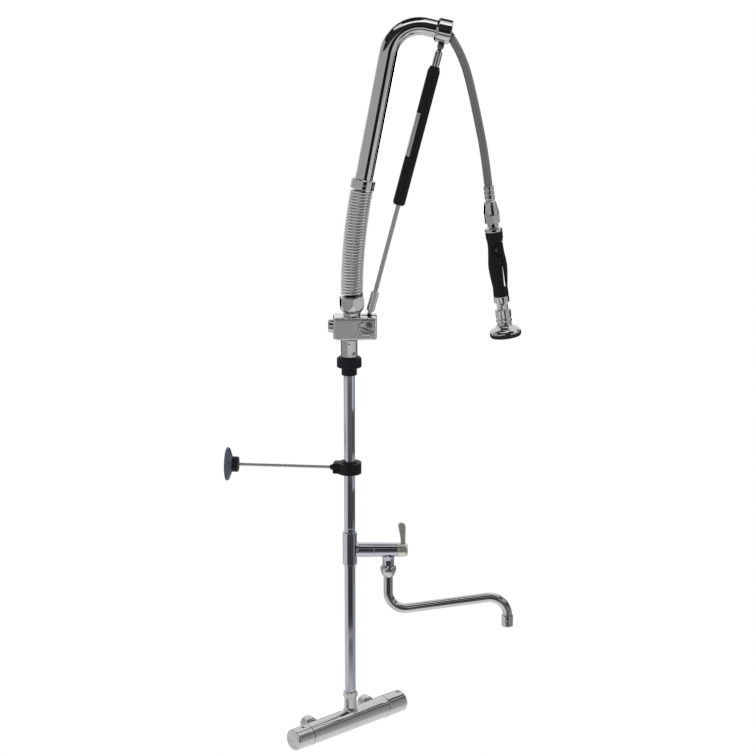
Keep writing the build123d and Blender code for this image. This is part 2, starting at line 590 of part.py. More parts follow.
mouth_point = side_of(arm).from_local_coords((*down_the_end(END_RUN), 0))
mouth_way = arm.x_dir * end_way[0] + arm.z_dir * end_way[1]
mouth_down = arm.x_dir * end_way[1] - arm.z_dir * end_way[0]
mouth = Plane(mouth_point, x_dir=mouth_down, z_dir=mouth_way)
mouth_side = Plane(mouth.origin, x_dir=mouth.x_dir, z_dir=mouth.y_dir)
high_pin = arm_point(*STRUT_HIGH)
pin_side = mouth.to_local_coords(high_pin)
LUG_INNER, LUG_OUTER = 4.4, 8.0
with BuildPart() as arm_collar:
    turned(mouth, (TUBE_RADIUS, -28.0), (17.6, -28.0), (20.4, -25.2), (21.9, -24.2), (21.9, -1.0),
           (21.0, 0),
           (18.8, 0), (15.0, -4.0), (TUBE_RADIUS, -4.0))
    for side in (-1, 1):
        with BuildSketch(mouth_side.offset(side * (LUG_INNER + LUG_OUTER) / 2)) as cheek:
            with Locations((pin_side.X, -pin_side.Z)):
                Circle(5.6)
            with Locations(((pin_side.X + 18) / 2, -pin_side.Z)):
                Rectangle(pin_side.X - 18, 11.2)
        extrude(cheek.sketch, amount=(LUG_OUTER - LUG_INNER) / 2, both=True)
    tube(Plane(high_pin, z_dir=mouth.y_dir), 2.5, 0, -12, 12, mode=Mode.SUBTRACT)
keep(arm_collar, "arm_collar")

with BuildPart() as strut_pin:
    tube(Plane(high_pin, z_dir=mouth.y_dir), 2.5, 0, -9.5, 9.5)
    for side in (-1, 1):
        tube(Plane(high_pin, z_dir=mouth.y_dir * side), 4.0, 0, LUG_OUTER, 9.5)
keep(strut_pin, "strut_pin")

# The inner hose runs up the tube and turns down out of the mouth.  It ends in a ball, round
# which the free hose swings.
HOSE_DROP = 6.0
HOSE_LEAN = 34.9          # of the hose where it leaves the mouth, from straight down
exit_way = arm_way(math.sin(math.radians(HOSE_LEAN)), -math.cos(math.radians(HOSE_LEAN)))
knee_back = HOSE_DROP / math.tan(math.radians(exit_way.get_angle(mouth_way)))
knee = mouth_point - mouth_way * knee_back
BALL_OUT = 10.0
ball = mouth_point + mouth.x_dir * HOSE_DROP + exit_way * BALL_OUT


def in_arm(point):
    """A point of the row frame in the arm's own x and z."""
    local = arm.to_local_coords(point)
    return (local.X, local.Z)


with BuildPart() as arm_hose:
    swept(arm, HOSE_RADIUS, HOSE_BORE, [(0, coil_half + 0.3), (0, CORNER), in_arm(knee), in_arm(ball)],
          (BEND_RADIUS, 15.0))
    with Locations(ball):
        Sphere(HOSE_RADIUS)
keep(arm_hose, "arm_hose")

# ---------------------------------------------------------------- gas strut
strut_lean = math.degrees(math.atan2(STRUT_HIGH[0] - STRUT_LOW[0], STRUT_HIGH[1] - STRUT_LOW[1]))
strut_length = math.hypot(STRUT_HIGH[0] - STRUT_LOW[0], STRUT_HIGH[1] - STRUT_LOW[1])
strut = along(*STRUT_LOW, strut_lean)
strut_side = Plane(strut.origin, x_dir=strut.x_dir, z_dir=strut.y_dir)
PISTON_ROD = 4.0
CYLINDER_RADIUS, CYLINDER_BORE = 11.3, 10.0
CYLINDER_LOW, CYLINDER_HIGH = 234.0, 493.0
FITTING_LOW, FITTING_HIGH = 29.5, 67.0
EYE_HALF = 4.0

with BuildPart() as strut_rod:
    tube(strut, PISTON_ROD, 0, FITTING_HIGH - 12, 352.0)
    tube(strut, 8.2, 0, 340.0, 350.0)
keep(strut_rod, "strut_rod")

with BuildPart() as strut_lower_eye:
    tube(strut_side, 7.0, 0, -EYE_HALF, EYE_HALF)
    tube(strut, 3.9, 0, 4.0, FITTING_LOW + 2)
    turned(strut, (0, FITTING_LOW), (6.6, FITTING_LOW), (7.5, FITTING_LOW + 0.9), (7.5, FITTING_HIGH - 1),
           (6.5, FITTING_HIGH), (0, FITTING_HIGH))
    tube(strut, PISTON_ROD, 0, FITTING_HIGH - 12, FITTING_HIGH + 1, mode=Mode.SUBTRACT)
    tube(strut_side, PIN_RADIUS + SLACK, 0, -8, 8, mode=Mode.SUBTRACT)
keep(strut_lower_eye, "strut_lower_eye")

with BuildPart() as strut_cylinder:
    turned(strut, (5.8, CYLINDER_LOW), (8.8, CYLINDER_LOW), (CYLINDER_RADIUS, CYLINDER_LOW + 3.5),
           (CYLINDER_RADIUS, CYLINDER_HIGH - 8), (8.6, CYLINDER_HIGH), (0, CYLINDER_HIGH),
           (0, CYLINDER_HIGH - 6), (CYLINDER_BORE, CYLINDER_HIGH - 6), (CYLINDER_BORE, CYLINDER_LOW + 12),
           (5.8, CYLINDER_LOW + 12))
keep(strut_cylinder, "strut_cylinder")

with BuildPart() as strut_upper_eye:
    turned(strut, (0, CYLINDER_HIGH), (6.8, CYLINDER_HIGH), (6.8, strut_length - 10.5),
           (5.6, strut_length - 8),
           (0, strut_length - 8))
    tube(Plane(high_pin, z_dir=strut.y_dir), 5.4, 0, -EYE_HALF, EYE_HALF)
    tube(strut, 3.9, 0, strut_length - 10, strut_length - 2)
    tube(Plane(high_pin, z_dir=strut.y_dir), 2.5 + SLACK, 0, -8, 8, mode=Mode.SUBTRACT)
keep(strut_upper_eye, "strut_upper_eye")

# ---------------------------------------------------------------- free hose
# The route, in the arm's plane: right of the riser axis, and height.
HOSE_ROUTE = [(192.5, 1303.5), (201.0, 1288.0), (213.0, 1260.0), (224.8, 1215.0), (237.5, 1158.0),
              (248.8, 1102.7), (255.9, 1047.7)]


def route_radii(route):
    """The largest arcs that the runs allow: 0.45 of the shorter run over the tangent of half the turn."""
    radii = []
    for before, corner, after in zip(route, route[1:], route[2:]):
        one, two = Vector(*corner) - Vector(*before), Vector(*after) - Vector(*corner)
        half_turn = math.radians(one.get_angle(two) / 2)
        radii.append(0.45 * min(one.length, two.length) / math.tan(half_turn))
    return radii


hose_radii = route_radii(HOSE_ROUTE)
with BuildPart() as spray_hose:
    hose_length = swept(along(0, 0), HOSE_RADIUS, HOSE_BORE, HOSE_ROUTE, hose_radii)
keep(spray_hose, "spray_hose")
hose_section = math.pi * (HOSE_RADIUS**2 - HOSE_BORE**2)
print("hose radii", [round(r) for r in hose_radii], "length", round(hose_length, 1))
print("hose volume ratio", round(spray_hose.part.volume / (hose_section * hose_length), 5))

# ---------------------------------------------------------------- spray
spray = along(*HOSE_ROUTE[-1], 180 - SPRAY_TILT)
WATERWAY = 3.6
NUT_SPLIT = 54.6          # where the free nut meets the hose's cone
GRIP_TOP, GRIP_BOTTOM = 86.0, 207.5
STEM = 5.5
LEVER_PIN = (0.0, 118.5)  # across and down, in the spray's own frame
LEVER_GAP = [(-8.4, 104.0), (-6.9, 191.6), (-30, 191.6), (-30, 104.0)]
LEVER_FACE = [(-8.8, 107.0), (-10.3, 190.0), (-30, 190.0), (-30, 107.0)]
EAR_INNER, EAR_OUTER = 11.6, 14.4
pin_line = Plane(side_of(spray).from_local_coords((*LEVER_PIN, 0)), z_dir=spray.y_dir)
stem_line = Plane(spray.origin + spray.z_dir * 150, z_dir=-spray.x_dir)

with BuildPart() as hose_ferrule:
    turned(spray, (HOSE_BORE, 0.1), (8.6, 0.1), (9.2, 1.2), (9.2, 24.5), (8.6, 25.6), (8.6, 28.0),
           (10.6, 30.0),
           (13.6, 46.0), (14.0, 50.0), (14.0, NUT_SPLIT - GAP), (HOSE_BORE, NUT_SPLIT - GAP))
keep(hose_ferrule, "hose_ferrule")

with BuildPart() as spray_nut:
    hexagon(spray, 27.0, 7.0, NUT_SPLIT, 69.6, turn=30)
    tube(spray, HOSE_BORE - SLACK, WATERWAY, NUT_SPLIT - 14, NUT_SPLIT + 2)
    tube(spray, 7.0, WATERWAY, NUT_SPLIT, NUT_SPLIT + 4)
keep(spray_nut, "spray_nut")

with BuildPart() as valve_body:
    turned(spray, (WATERWAY, NUT_SPLIT + 4), (7.0, NUT_SPLIT + 4), (7.0, 69.6), (9.6, 69.6),
           (10.0, 71.0), (10.0, 76.0),
           (12.4, 78.0), (15.6, 80.0), (15.8, 84.5), (15.2, GRIP_TOP), (STEM, GRIP_TOP),
           (STEM, GRIP_BOTTOM),
           (14.2, GRIP_BOTTOM), (14.2, 218.5), (11.6, 221.6), (10.2, 224.0), (9.9, 232.5),
           (WATERWAY, 232.5))
    tube(stem_line, 2.5 + SLACK, 0, 0, 8, mode=Mode.SUBTRACT)
keep(valve_body, "valve_body")


def grip_outline():
    """Half of the grip's outline: (radius, distance down the spray)."""
    return [(STEM, GRIP_TOP), (15.6, GRIP_TOP), (16.2, 87.5), (16.0, 97.0), (14.9, 100.0), (14.3, 110.0),
            (14.6, 120.0), (15.8, 131.0), (17.2, 142.0), (17.5, 150.0), (16.9, 162.0), (15.2, 178.0),
            (13.6, 192.0), (14.1, 193.0), (14.2, GRIP_BOTTOM), (STEM, GRIP_BOTTOM)]


with BuildPart() as spray_grip:
    turned(spray, *grip_outline())
    with BuildSketch(side_of(spray)) as gap:
        Polygon(*LEVER_GAP, align=None)
    extrude(gap.sketch, amount=30, both=True, mode=Mode.SUBTRACT)
    for side in (-1, 1):
        with BuildSketch(side_of(spray).offset(side * 20.0)) as flat:
            with Locations(LEVER_PIN):
                Circle(9.0)
                with Locations((-8, 0)):
                    Rectangle(16, 27.0)
        extrude(flat.sketch, amount=-side * (20.0 - EAR_INNER + 0.3), mode=Mode.SUBTRACT)
    tube(pin_line, 1.5, 0, -20, 20, mode=Mode.SUBTRACT)
    tube(stem_line, 2.5 + SLACK, 0, 0, 20, mode=Mode.SUBTRACT)
keep(spray_grip, "spray_grip")

with BuildPart() as spray_lever:
    turned(spray, *grip_outline())
    with BuildSketch(side_of(spray)) as face:
        Polygon(*LEVER_FACE, align=None)
    extrude(face.sketch, amount=30, both=True, mode=Mode.INTERSECT)
    for side in (-1, 1):
        with BuildSketch(side_of(spray).offset(side * EAR_INNER)) as ear:
            with Locations(LEVER_PIN):
                Circle(6.0)
            with BuildLine():
                Polyline((0, 112.5), (0, 124.5), (-11.0, 131.0), (-11.0, 109.0), close=True)
            make_face()
        extrude(ear.sketch, amount=side * (EAR_OUTER - EAR_INNER))
    tube(pin_line, 1.5 + SLACK, 0, -20, 20, mode=Mode.SUBTRACT)
keep(spray_lever, "spray_lever")

with BuildPart() as lever_pins:
    for near, far in ((-14.6, -STEM - 0.4), (STEM + 0.4, 14.6)):
        tube(pin_line, 1.5, 0, near, far)
keep(lever_pins, "lever_pins")

with BuildPart() as valve_plunger:
    tube(stem_line, 2.5, 0, 2.2, 9.3)
keep(valve_plunger, "valve_plunger")

BELL_RADIUS = 29.0
with BuildPart() as spray_head:
    turned(spray, (WATERWAY, 232.5), (13.2, 232.5), (14.3, 233.6), (14.3, 248.0), (13.2, 249.0),
           (13.2, 250.4),
           (14.4, 251.2), (14.4, 256.0), (13.0, 257.2), (13.4, 262.0), (16.0, 265.0), (22.0, 268.0),
           (27.0, 271.5), (BELL_RADIUS, 275.0), (BELL_RADIUS, 277.0), (24.5, 277.0), (24.5, 274.5),
           (20.0, 271.5),
           (12.0, 268.0), (10.0, 262.0), (10.0, 252.0), (WATERWAY, 252.0))
keep(spray_head, "spray_head")

with BuildPart() as spray_bumper:
    turned(spray, (24.5, 277.0), (BELL_RADIUS + 0.2, 277.0), (BELL_RADIUS + 0.6, 279.0),
           (BELL_RADIUS - 0.6, 283.0),
           (26.6, 285.0), (24.8, 284.0), (24.0, 281.0))
keep(spray_bumper, "spray_bumper")

with BuildPart() as nozzle_plate:
    tube(spray, 24.3, 0, 274.8, 277.0)
    with Locations(Location(spray.offset(277.0))):
        with PolarLocations(6.0, 6):
            Hole(0.9, depth=3)
        with PolarLocations(12.0, 12):
            Hole(0.9, depth=3)
        with PolarLocations(18.5, 18):
            Hole(0.9, depth=3)
keep(nozzle_plate, "nozzle_plate")
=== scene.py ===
import json
import math

import bpy
from mathutils import Matrix, Vector


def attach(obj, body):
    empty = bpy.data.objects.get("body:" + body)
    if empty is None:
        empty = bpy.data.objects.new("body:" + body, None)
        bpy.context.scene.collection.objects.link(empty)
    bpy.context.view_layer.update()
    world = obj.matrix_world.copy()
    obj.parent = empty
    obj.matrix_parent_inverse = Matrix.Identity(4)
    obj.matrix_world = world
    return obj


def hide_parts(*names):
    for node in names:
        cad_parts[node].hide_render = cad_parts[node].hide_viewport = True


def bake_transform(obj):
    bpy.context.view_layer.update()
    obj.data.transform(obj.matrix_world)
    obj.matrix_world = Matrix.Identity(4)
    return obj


bl_info = {
    "name": "Pre Rinse Faucet",
    "version": (1, 0, 0),
    "blender": (4, 5, 0),
    "location": "View3D > Sidebar > Faucet",
    "description": "Builds the visible pieces and finishes of a wall mounted pre rinse faucet",
    "category": "Add Mesh",
}

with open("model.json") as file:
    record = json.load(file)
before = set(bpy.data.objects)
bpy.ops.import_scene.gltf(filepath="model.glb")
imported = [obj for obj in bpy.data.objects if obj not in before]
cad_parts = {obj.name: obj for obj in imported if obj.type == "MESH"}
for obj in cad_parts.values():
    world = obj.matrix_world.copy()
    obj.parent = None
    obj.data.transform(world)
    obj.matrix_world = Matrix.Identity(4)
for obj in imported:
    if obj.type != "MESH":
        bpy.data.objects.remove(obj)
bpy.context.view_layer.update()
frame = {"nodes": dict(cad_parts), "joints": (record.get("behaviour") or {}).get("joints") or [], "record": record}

# Sizes that several pieces share, in millimetres unless they say degrees. A height is above the
# middle of the mixer bar, or above the foot of the piece's own place.
MM = 0.001
COIL_BEND = 10.9          # degrees that the coil leans the arm at rest
COIL_RISE = 198.0         # from the coil's foot to its head
COIL_LOW = 843.0
BEND_TURN = 92.0          # degrees of the gooseneck's bend
BEND_RADIUS = 57.0
ARM_STRAIGHT = 352.5      # from the coil's hinge point to the start of the bend
TUBE_END_RUN = 45.0       # from the end of the bend to the mouth
TUBE_RADIUS = 16.1
RISER_RADIUS = 10.5
SPOUT_LEAN = 7.7          # degrees that the spout's run rises
HOSE_RADIUS, HOSE_BORE = 7.45, 4.6
HOSE_SIDES = 40
HOSE_LEAN = 34.9          # degrees from straight down at which the hose leaves the mouth
SPRAY_NUT_LOW = 54.6      # from the hose's end to the spray's turning joint
SPRAY_NUT_ACROSS = 27.0
PLUG_HEIGHT = 786.0
SMOOTH = math.radians(32)    # faces that meet at more than this keep their crease


# ---------------------------------------------------------------- places, from the frame
def joint(name):
    """The frame's joint of this name."""
    return next(j for j in frame["joints"] if j["name"] == name)


def pivot(name):
    return Vector(joint(name)["pos_m"])


def along_joint(name):
    return Vector(joint(name)["axis"]).normalized()


UP = Vector((0, 0, 1))
REACH = along_joint("tap_turn")
AWAY = along_joint("arm_tilt")


def place(origin, z_way, x_way):
    """A place with its own z and x, as a matrix in metres."""
    z_way, x_way = z_way.normalized(), x_way.normalized()
    y_way = z_way.cross(x_way)
    turn = Matrix((x_way, y_way, z_way)).transposed().to_4x4()
    return Matrix.Translation(origin) @ turn


def leaning(origin, degrees=0.0):
    """A place whose z leans from upright towards the spout's reach."""
    lean = math.radians(degrees)
    return place(origin, REACH * math.sin(lean) + UP * math.cos(lean),
                 REACH * math.cos(lean) - UP * math.sin(lean))


def foot(point):
    """The same point at height nought, so that heights on its place are the faucet's own."""
    return Vector((point.x, point.y, 0))


def facing(point):
    """A place square to the arm's plane, with z to the front and x along the reach."""
    return place(point, -AWAY, REACH)


CENTRE = foot(pivot("head_turn"))
RIGHT, BACK = Vector((1, 0, 0)), Vector((0, 1, 0))
RISER = leaning(CENTRE)
BAR = place(CENTRE, RIGHT, UP)
CROSS = place(CENTRE, UP, RIGHT)
INLETS = [place(Vector(port["pos_m"]) * Vector((1, 0, 1)), BACK, RIGHT)
          for port in frame["record"]["mounts"] if port["name"].startswith("supply_") and port["dims"]]
TAP = leaning(pivot("tap_turn"), 90)
SPOUT = leaning(foot(pivot("spout_turn")))
COIL_FOOT = leaning(foot(pivot("arm_tilt")))
ARM = leaning(pivot("arm_tilt"), COIL_BEND)
STRUT_WAY = pivot("strut_cylinder_turn") - pivot("strut_rod_turn")
STRUT = leaning(pivot("strut_rod_turn"), math.degrees(math.atan2(STRUT_WAY.dot(REACH), STRUT_WAY.z)))
SPRAY_WAY = along_joint("spray_turn")
SPRAY = place(pivot("spray_turn") - SPRAY_WAY * SPRAY_NUT_LOW * MM, SPRAY_WAY, AWAY.cross(SPRAY_WAY))
ROD_WAY = Vector(next(m for m in frame["record"]["mounts"] if m["name"] == "wall_holes")["axis"])
BRACKET = place(pivot("bracket_turn"), ROD_WAY, ROD_WAY.cross(UP))
CLAMP = place(pivot("bracket_turn"), UP, ROD_WAY)
PIVOT_FRONT = facing(pivot("strut_rod_turn"))
COIL_ARC = COIL_RISE / math.sin(math.radians(COIL_BEND))
COIL_HALF = COIL_ARC * math.tan(math.radians(COIL_BEND / 2))
BEND_CORNER = BEND_RADIUS * math.tan(math.radians(BEND_TURN / 2))
ARM_X, ARM_Z = ARM.col[0].xyz, ARM.col[2].xyz
END_WAY = ARM_X * math.sin(math.radians(BEND_TURN)) + ARM_Z * math.cos(math.radians(BEND_TURN))
CORNER = ARM.translation + ARM_Z * (ARM_STRAIGHT + BEND_CORNER) * MM
MOUTH = place(CORNER + END_WAY * (BEND_CORNER + TUBE_END_RUN) * MM, END_WAY, AWAY.cross(END_WAY))


# ---------------------------------------------------------------- shader maths
def feed(tree, socket, value):
    """Link a wire to a socket, or give the socket a plain value."""
    if isinstance(value, Wire):
        tree.links.new(value.socket, socket)
    else:
        socket.default_value = value


class Wire:
    """A shader socket that adds Math nodes when it is used in sums."""

    def __init__(self, tree, socket):
        self.tree = tree
        self.socket = socket

    def maths(self, operation, first, second):
        node = self.tree.nodes.new("ShaderNodeMath")
        node.operation = operation
        feed(self.tree, node.inputs[0], first)
        feed(self.tree, node.inputs[1], second)
        return Wire(self.tree, node.outputs[0])

    def __add__(self, other):
        return self.maths("ADD", self, other)

    def __radd__(self, other):
        return self.maths("ADD", other, self)

    def __sub__(self, other):
        return self.maths("SUBTRACT", self, other)

    def __rsub__(self, other):
        return self.maths("SUBTRACT", other, self)

    def __mul__(self, other):
        return self.maths("MULTIPLY", self, other)

    def __rmul__(self, other):
        return self.maths("MULTIPLY", other, self)


class Nodes:
    """A tree of shader nodes under construction."""

    def __init__(self, tree):
        self.tree = tree

    def node(self, kind, settings=None, output=0, **sockets):
        """Any node: its settings first, then the values or links of its sockets, by name or as i0, i1."""
        made = self.tree.nodes.new(kind)
        for key, value in (settings or {}).items():
            setattr(made, key, value)
        for key, value in sockets.items():
            numbered = key[0] == "i" and key[1:].isdigit()
            feed(self.tree, made.inputs[int(key[1:]) if numbered else key.replace("_", " ")], value)
        return Wire(self.tree, made.outputs[output])

    def ray(self, kind):
        """One where the ray is of this kind, and nought elsewhere."""
        return self.node("ShaderNodeLightPath", output=f"Is {kind} Ray")


class Finish(Nodes):
    """A material under construction: one Principled shader and what feeds it."""

    def __init__(self, name):
        self.material = bpy.data.materials.new(name)
        self.material.use_nodes = True
        super().__init__(self.material.node_tree)
        self.shader = self.tree.nodes["Principled BSDF"]

    def spot(self, scale=(1, 1, 1)):
        """The piece's own coordinates, scaled."""
        coordinates = self.node("ShaderNodeTexCoord", output="Object")
        return self.node("ShaderNodeMapping", Vector=coordinates, Scale=scale)

    def noise(self, scale, detail=3.0, rough=0.5, vector=None):
        vector = vector or self.spot()
        return self.node("ShaderNodeTexNoise", Vector=vector, Scale=scale, Detail=detail, Roughness=rough)

    def between(self, share, low, high):
        """A colour between two, by a share from 0 to 1."""
        low, high = (*low, 1.0), (*high, 1.0)
        return self.node("ShaderNodeMix", {"data_type": "RGBA"}, output=2, i0=share, i6=low, i7=high)

    def set(self, **sockets):
        """Values or links of the Principled shader's sockets."""
        for key, value in sockets.items():
            feed(self.tree, self.shader.inputs[key.replace("_", " ")], value)
        return self

    def bump(self, height, strength, distance):
        relief = self.node("ShaderNodeBump", Height=height, Strength=strength, Distance=distance)
        return self.set(Normal=relief)

    def show(self, surface):
        """Let another shader than the Principled one be the surface."""
        feed(self.tree, self.tree.nodes["Material Output"].inputs["Surface"], surface)


def plated(name, colour, rough, wear=0.02, grain=0.0, brushed=None):
    """Plated metal: faint smears in its gloss and, when brushed, fine lines one way."""
    metal = Finish(name)
    smear = metal.noise(scale=26.0, detail=4.0, rough=0.6)
    dull = tuple(channel * 0.93 for channel in colour)
    metal.set(Metallic=1.0, Base_Color=metal.between(smear, dull, colour))
    lines = metal.spot(brushed or (1, 1, 1))
    fine = metal.noise(scale=420.0 if brushed else 300.0, detail=2.0, vector=lines)
    metal.set(Roughness=rough + smear * wear + fine * grain)
    if grain:
        metal.bump(fine, strength=0.12, distance=0.00004)
    return metal.material


def moulded(name, colour, rough, speck, relief):
    """Moulded plastic or rubber with a fine skin."""
    skin = Finish(name)
    cloud = skin.noise(scale=34.0, detail=4.0, rough=0.55)
    grit = skin.noise(scale=speck, detail=2.0, rough=0.6)
    pale = tuple(min(1.0, channel * 1.4 + 0.002) for channel in colour)
    skin.set(Base_Color=skin.between(cloud, colour, pale), Roughness=rough + cloud * 0.12 + grit * 0.06,
             Specular_IOR_Level=0.13)
    return skin.bump(grit, strength=0.35, distance=relief).material


STRANDS = 12              # pairs of crossed strands that show round the hose
STRAND_TURN = 2400.0      # radians of the weave in a metre of hose


def braided():
    """Fine crossed strands round the hose, over its own UV map: x round it, y along it in metres."""
    braid = Finish("braided_hose")
    spread = braid.node("ShaderNodeTexCoord", output="UV")
    round_it = braid.node("ShaderNodeSeparateXYZ", output="X", Vector=spread) * (2 * math.pi * STRANDS)
    along_it = braid.node("ShaderNodeSeparateXYZ", output="Y", Vector=spread) * STRAND_TURN
    one, two = (braid.node("ShaderNodeMath", {"operation": "SINE"}, i0=angle)
                for angle in (round_it + along_it, round_it - along_it))
    weave = one * two * 0.5 + 0.5
    cloud = braid.noise(scale=40.0)
    dark, light = (0.06, 0.062, 0.06), (0.27, 0.275, 0.27)
    braid.set(Base_Color=braid.between(weave * 0.75 + cloud * 0.25, dark, light), Metallic=0.55,
              Roughness=0.42 + weave * -0.1)
    return braid.bump(weave, strength=0.6, distance=0.0003).material


def make_finishes(colours):
    """The finishes by name: the record's slots, and some that only a few pieces have."""
    return {
        "chrome": plated("chrome_plate", tuple(colours.chrome), 0.045, 0.03),
        # The riser's plating: real chrome, with a bluish tint in its base colour that is a painted reflection of
        # dark blue surroundings, not the metal's own colour.
        "riser_chrome_blue_reflection": plated("riser_chrome_blue_reflection_plate", tuple(colours.riser), 0.06, 0.03),
        "satin_chrome": plated("satin_chrome_plate", tuple(colours.satin), 0.20, 0.06, 0.05),
        "block_satin": plated("block_satin_plate", tuple(colours.satin), 0.17, 0.05, 0.08, (0.2, 0.2, 3.0)),
        "lever_satin": plated("lever_satin_plate", tuple(colours.lever), 0.28, 0.08, 0.06),
        "steel": plated("ground_steel", (0.50, 0.505, 0.51), 0.22, 0.05, 0.06, (3.0, 3.0, 0.2)),
        "spring_steel": plated("spring_wire", (0.74, 0.745, 0.74), 0.14, 0.05, 0.02),
        "brass": plated("turned_brass", (0.71, 0.58, 0.33), 0.25, 0.05, 0.04),
        "black_plastic": moulded("black_moulding", tuple(colours.black), 0.38, 900.0, 0.00008),
        "dark_flange": moulded("dark_flange_skin", (0.055, 0.062, 0.085), 0.28, 900.0, 0.00003),
        "black_grip": moulded("black_grip_skin", (0.005, 0.005, 0.005), 0.52, 1400.0, 0.00012),
        "black_paint": moulded("black_powder_coat", (0.005, 0.005, 0.006), 0.32, 1600.0, 0.00003),
        "rubber": moulded("black_rubber", (0.012, 0.012, 0.012), 0.6, 1200.0, 0.00008),
        "hose": braided(),
        "inner_plastic": moulded("white_acetal", (0.72, 0.73, 0.75), 0.4, 600.0, 0.00003),
        "blank_label": plated("blank_label_foil", (0.62, 0.63, 0.62), 0.3, 0.08, 0.05),
    }


FINISHES = {}    # filled by main once the colours can be read


# ---------------------------------------------------------------- modelling steps
DOUBLES = 0.000001        # metres within which points are one
CORNER_SHARE = 0.42       # the most of an edge that one rounded corner takes
LEAST_CORNER = 0.02
NEARLY_STRAIGHT = math.radians(172)


def clear_selection():
    """Go to object mode with nothing selected."""
    if bpy.context.object and bpy.context.object.mode != "OBJECT":
        bpy.ops.object.mode_set(mode="OBJECT")
    bpy.ops.object.select_all(action="DESELECT")


def pick(piece):
    """Select one piece alone and make it the active one."""
    clear_selection()
    piece.select_set(True)
    bpy.context.view_layer.objects.active = piece
    return piece


def edit():
    """Go to edit mode on the active piece."""
    bpy.ops.object.mode_set(mode="EDIT")


def leave_edit():
    """Merge doubles, turn all faces outwards and go back to object mode."""
    bpy.ops.mesh.select_all(action="SELECT")
    bpy.ops.mesh.remove_doubles(threshold=2 * DOUBLES)
    bpy.ops.mesh.normals_make_consistent(inside=False)
    bpy.ops.object.mode_set(mode="OBJECT")
    return bpy.context.object


def eased(outline, size=0.5, steps=3):
    """The outline with each corner rounded, ends and points on the axis left as they are."""
    soft = [outline[0]]
    for before, corner, after in zip(outline, outline[1:], outline[2:]):
        middle = Vector(corner)
        one, two = Vector(before) - middle, Vector(after) - middle
        turn = one.angle(two, math.pi)
        reach = min(size, CORNER_SHARE * one.length, CORNER_SHARE * two.length)
        if turn > NEARLY_STRAIGHT or reach < LEAST_CORNER:
            soft.append(corner)
            continue
        near, far = middle + one.normalized() * reach, middle + two.normalized() * reach
        for step in range(steps + 1):
            t = step / steps
            point = near * (1 - t) ** 2 + middle * 2 * t * (1 - t) + far * t ** 2
            soft.append((point.x, point.y))
    return soft + [outline[-1]]


def flowing(points, steps=5):
    """A smooth outline through the points."""
    padded = [points[0], *points, points[-1]]
    smooth = []
    for before, start, end, after in zip(padded, padded[1:], padded[2:], padded[3:]):
        p0, p1, p2, p3 = (Vector(point) for point in (before, start, end, after))
        for step in range(steps):
            t = step / steps
            point = 0.5 * (2 * p1 + (p2 - p0) * t + (2 * p0 - 5 * p1 + 4 * p2 - p3) * t ** 2
                           + (3 * p1 - p0 - 3 * p2 + p3) * t ** 3)
            smooth.append((point.x, point.y))
    return smooth + [points[-1]]


def chain(points):
    """In edit mode, a chain of edges through points given across and up, in millimetres."""
    clear_selection()
    bpy.ops.mesh.primitive_plane_add(size=MM, location=(0, 0, 0))
    edit()
    bpy.ops.mesh.merge(type="CENTER")
    bpy.ops.transform.translate(value=(points[0][0] * MM, 0, points[0][1] * MM))
    for (across, up), (next_across, next_up) in zip(points, points[1:]):
        step = ((next_across - across) * MM, 0, (next_up - up) * MM)
        bpy.ops.mesh.extrude_vertices_move(TRANSFORM_OT_translate={"value": step})
    bpy.ops.mesh.select_all(action="SELECT")
    bpy.ops.mesh.remove_doubles(threshold=DOUBLES)


def lathe(outline, sides=96, turn=360.0):
    """A piece turned about z from an outline of (radius, height) points."""
    chain(outline)
    bpy.ops.mesh.spin(steps=sides, angle=math.radians(turn), center=(0, 0, 0), axis=(0, 0, 1))
    return leave_edit()


def turned(outline, ease=0.5, sides=96, steps=3):
    """A piece turned about z whose outline has its corners rounded."""
    return lathe(eased(outline, ease, steps), sides)


def half_round(across, up, radius, reach=90, steps=14):
    """Points round the far side of a disc, as many degrees above level as below it."""
    turns = [math.radians(2 * reach * step / steps - reach) for step in range(steps + 1)]
    return [(across + radius * math.cos(turn), up + radius * math.sin(turn)) for turn in turns]


def post(radius, low, high):
    """The outline of a plain solid cylinder."""
    return [(0, low), (radius, low), (radius, high), (0, high)]


def sleeve(inner, outer, low, high):
    """The outline of a plain ring or pipe."""
    return [(inner, low), (outer, low), (outer, high), (inner, high), (inner, low)]


def slab(points, near, far):
    """A flat shape of (across, up) points, from one depth to another, in millimetres."""
    chain(points)
    bpy.ops.mesh.edge_face_add()
    bpy.ops.mesh.select_all(action="SELECT")
    bpy.ops.transform.translate(value=(0, near * MM, 0))
    bpy.ops.mesh.extrude_region_move(TRANSFORM_OT_translate={"value": (0, (far - near) * MM, 0)})
    return leave_edit()


def box(low, high):
    """A block between two corners, in millimetres."""
    clear_selection()
    middle = [(a + b) / 2 * MM for a, b in zip(low, high)]
    size = [(b - a) * MM for a, b in zip(low, high)]
    bpy.ops.mesh.primitive_cube_add(size=1, location=middle, scale=size)
    bpy.ops.object.transform_apply()
    return bpy.context.object


def prism(sides, across_flats, low, high, turn=0.0):
    """A prism about z, with a corner on its y way unless it is turned."""
    clear_selection()
    radius = across_flats / 2 / math.cos(math.pi / sides) * MM
    bpy.ops.mesh.primitive_cylinder_add(vertices=sides, radius=radius, depth=(high - low) * MM,
                                        location=(0, 0, (low + high) / 2 * MM),
                                        rotation=(0, 0, math.radians(turn)))
    bpy.ops.object.transform_apply()
    return bpy.context.object


def moved(piece, matrix):
    """Put a piece into a place and leave that place in its mesh."""
    pick(piece).matrix_world = matrix
    bpy.ops.object.transform_apply()
    return piece


def shift(right=0.0, deep=0.0, up=0.0):
    """A move in millimetres, as a matrix."""
    return Matrix.Translation(Vector((right, deep, up)) * MM)


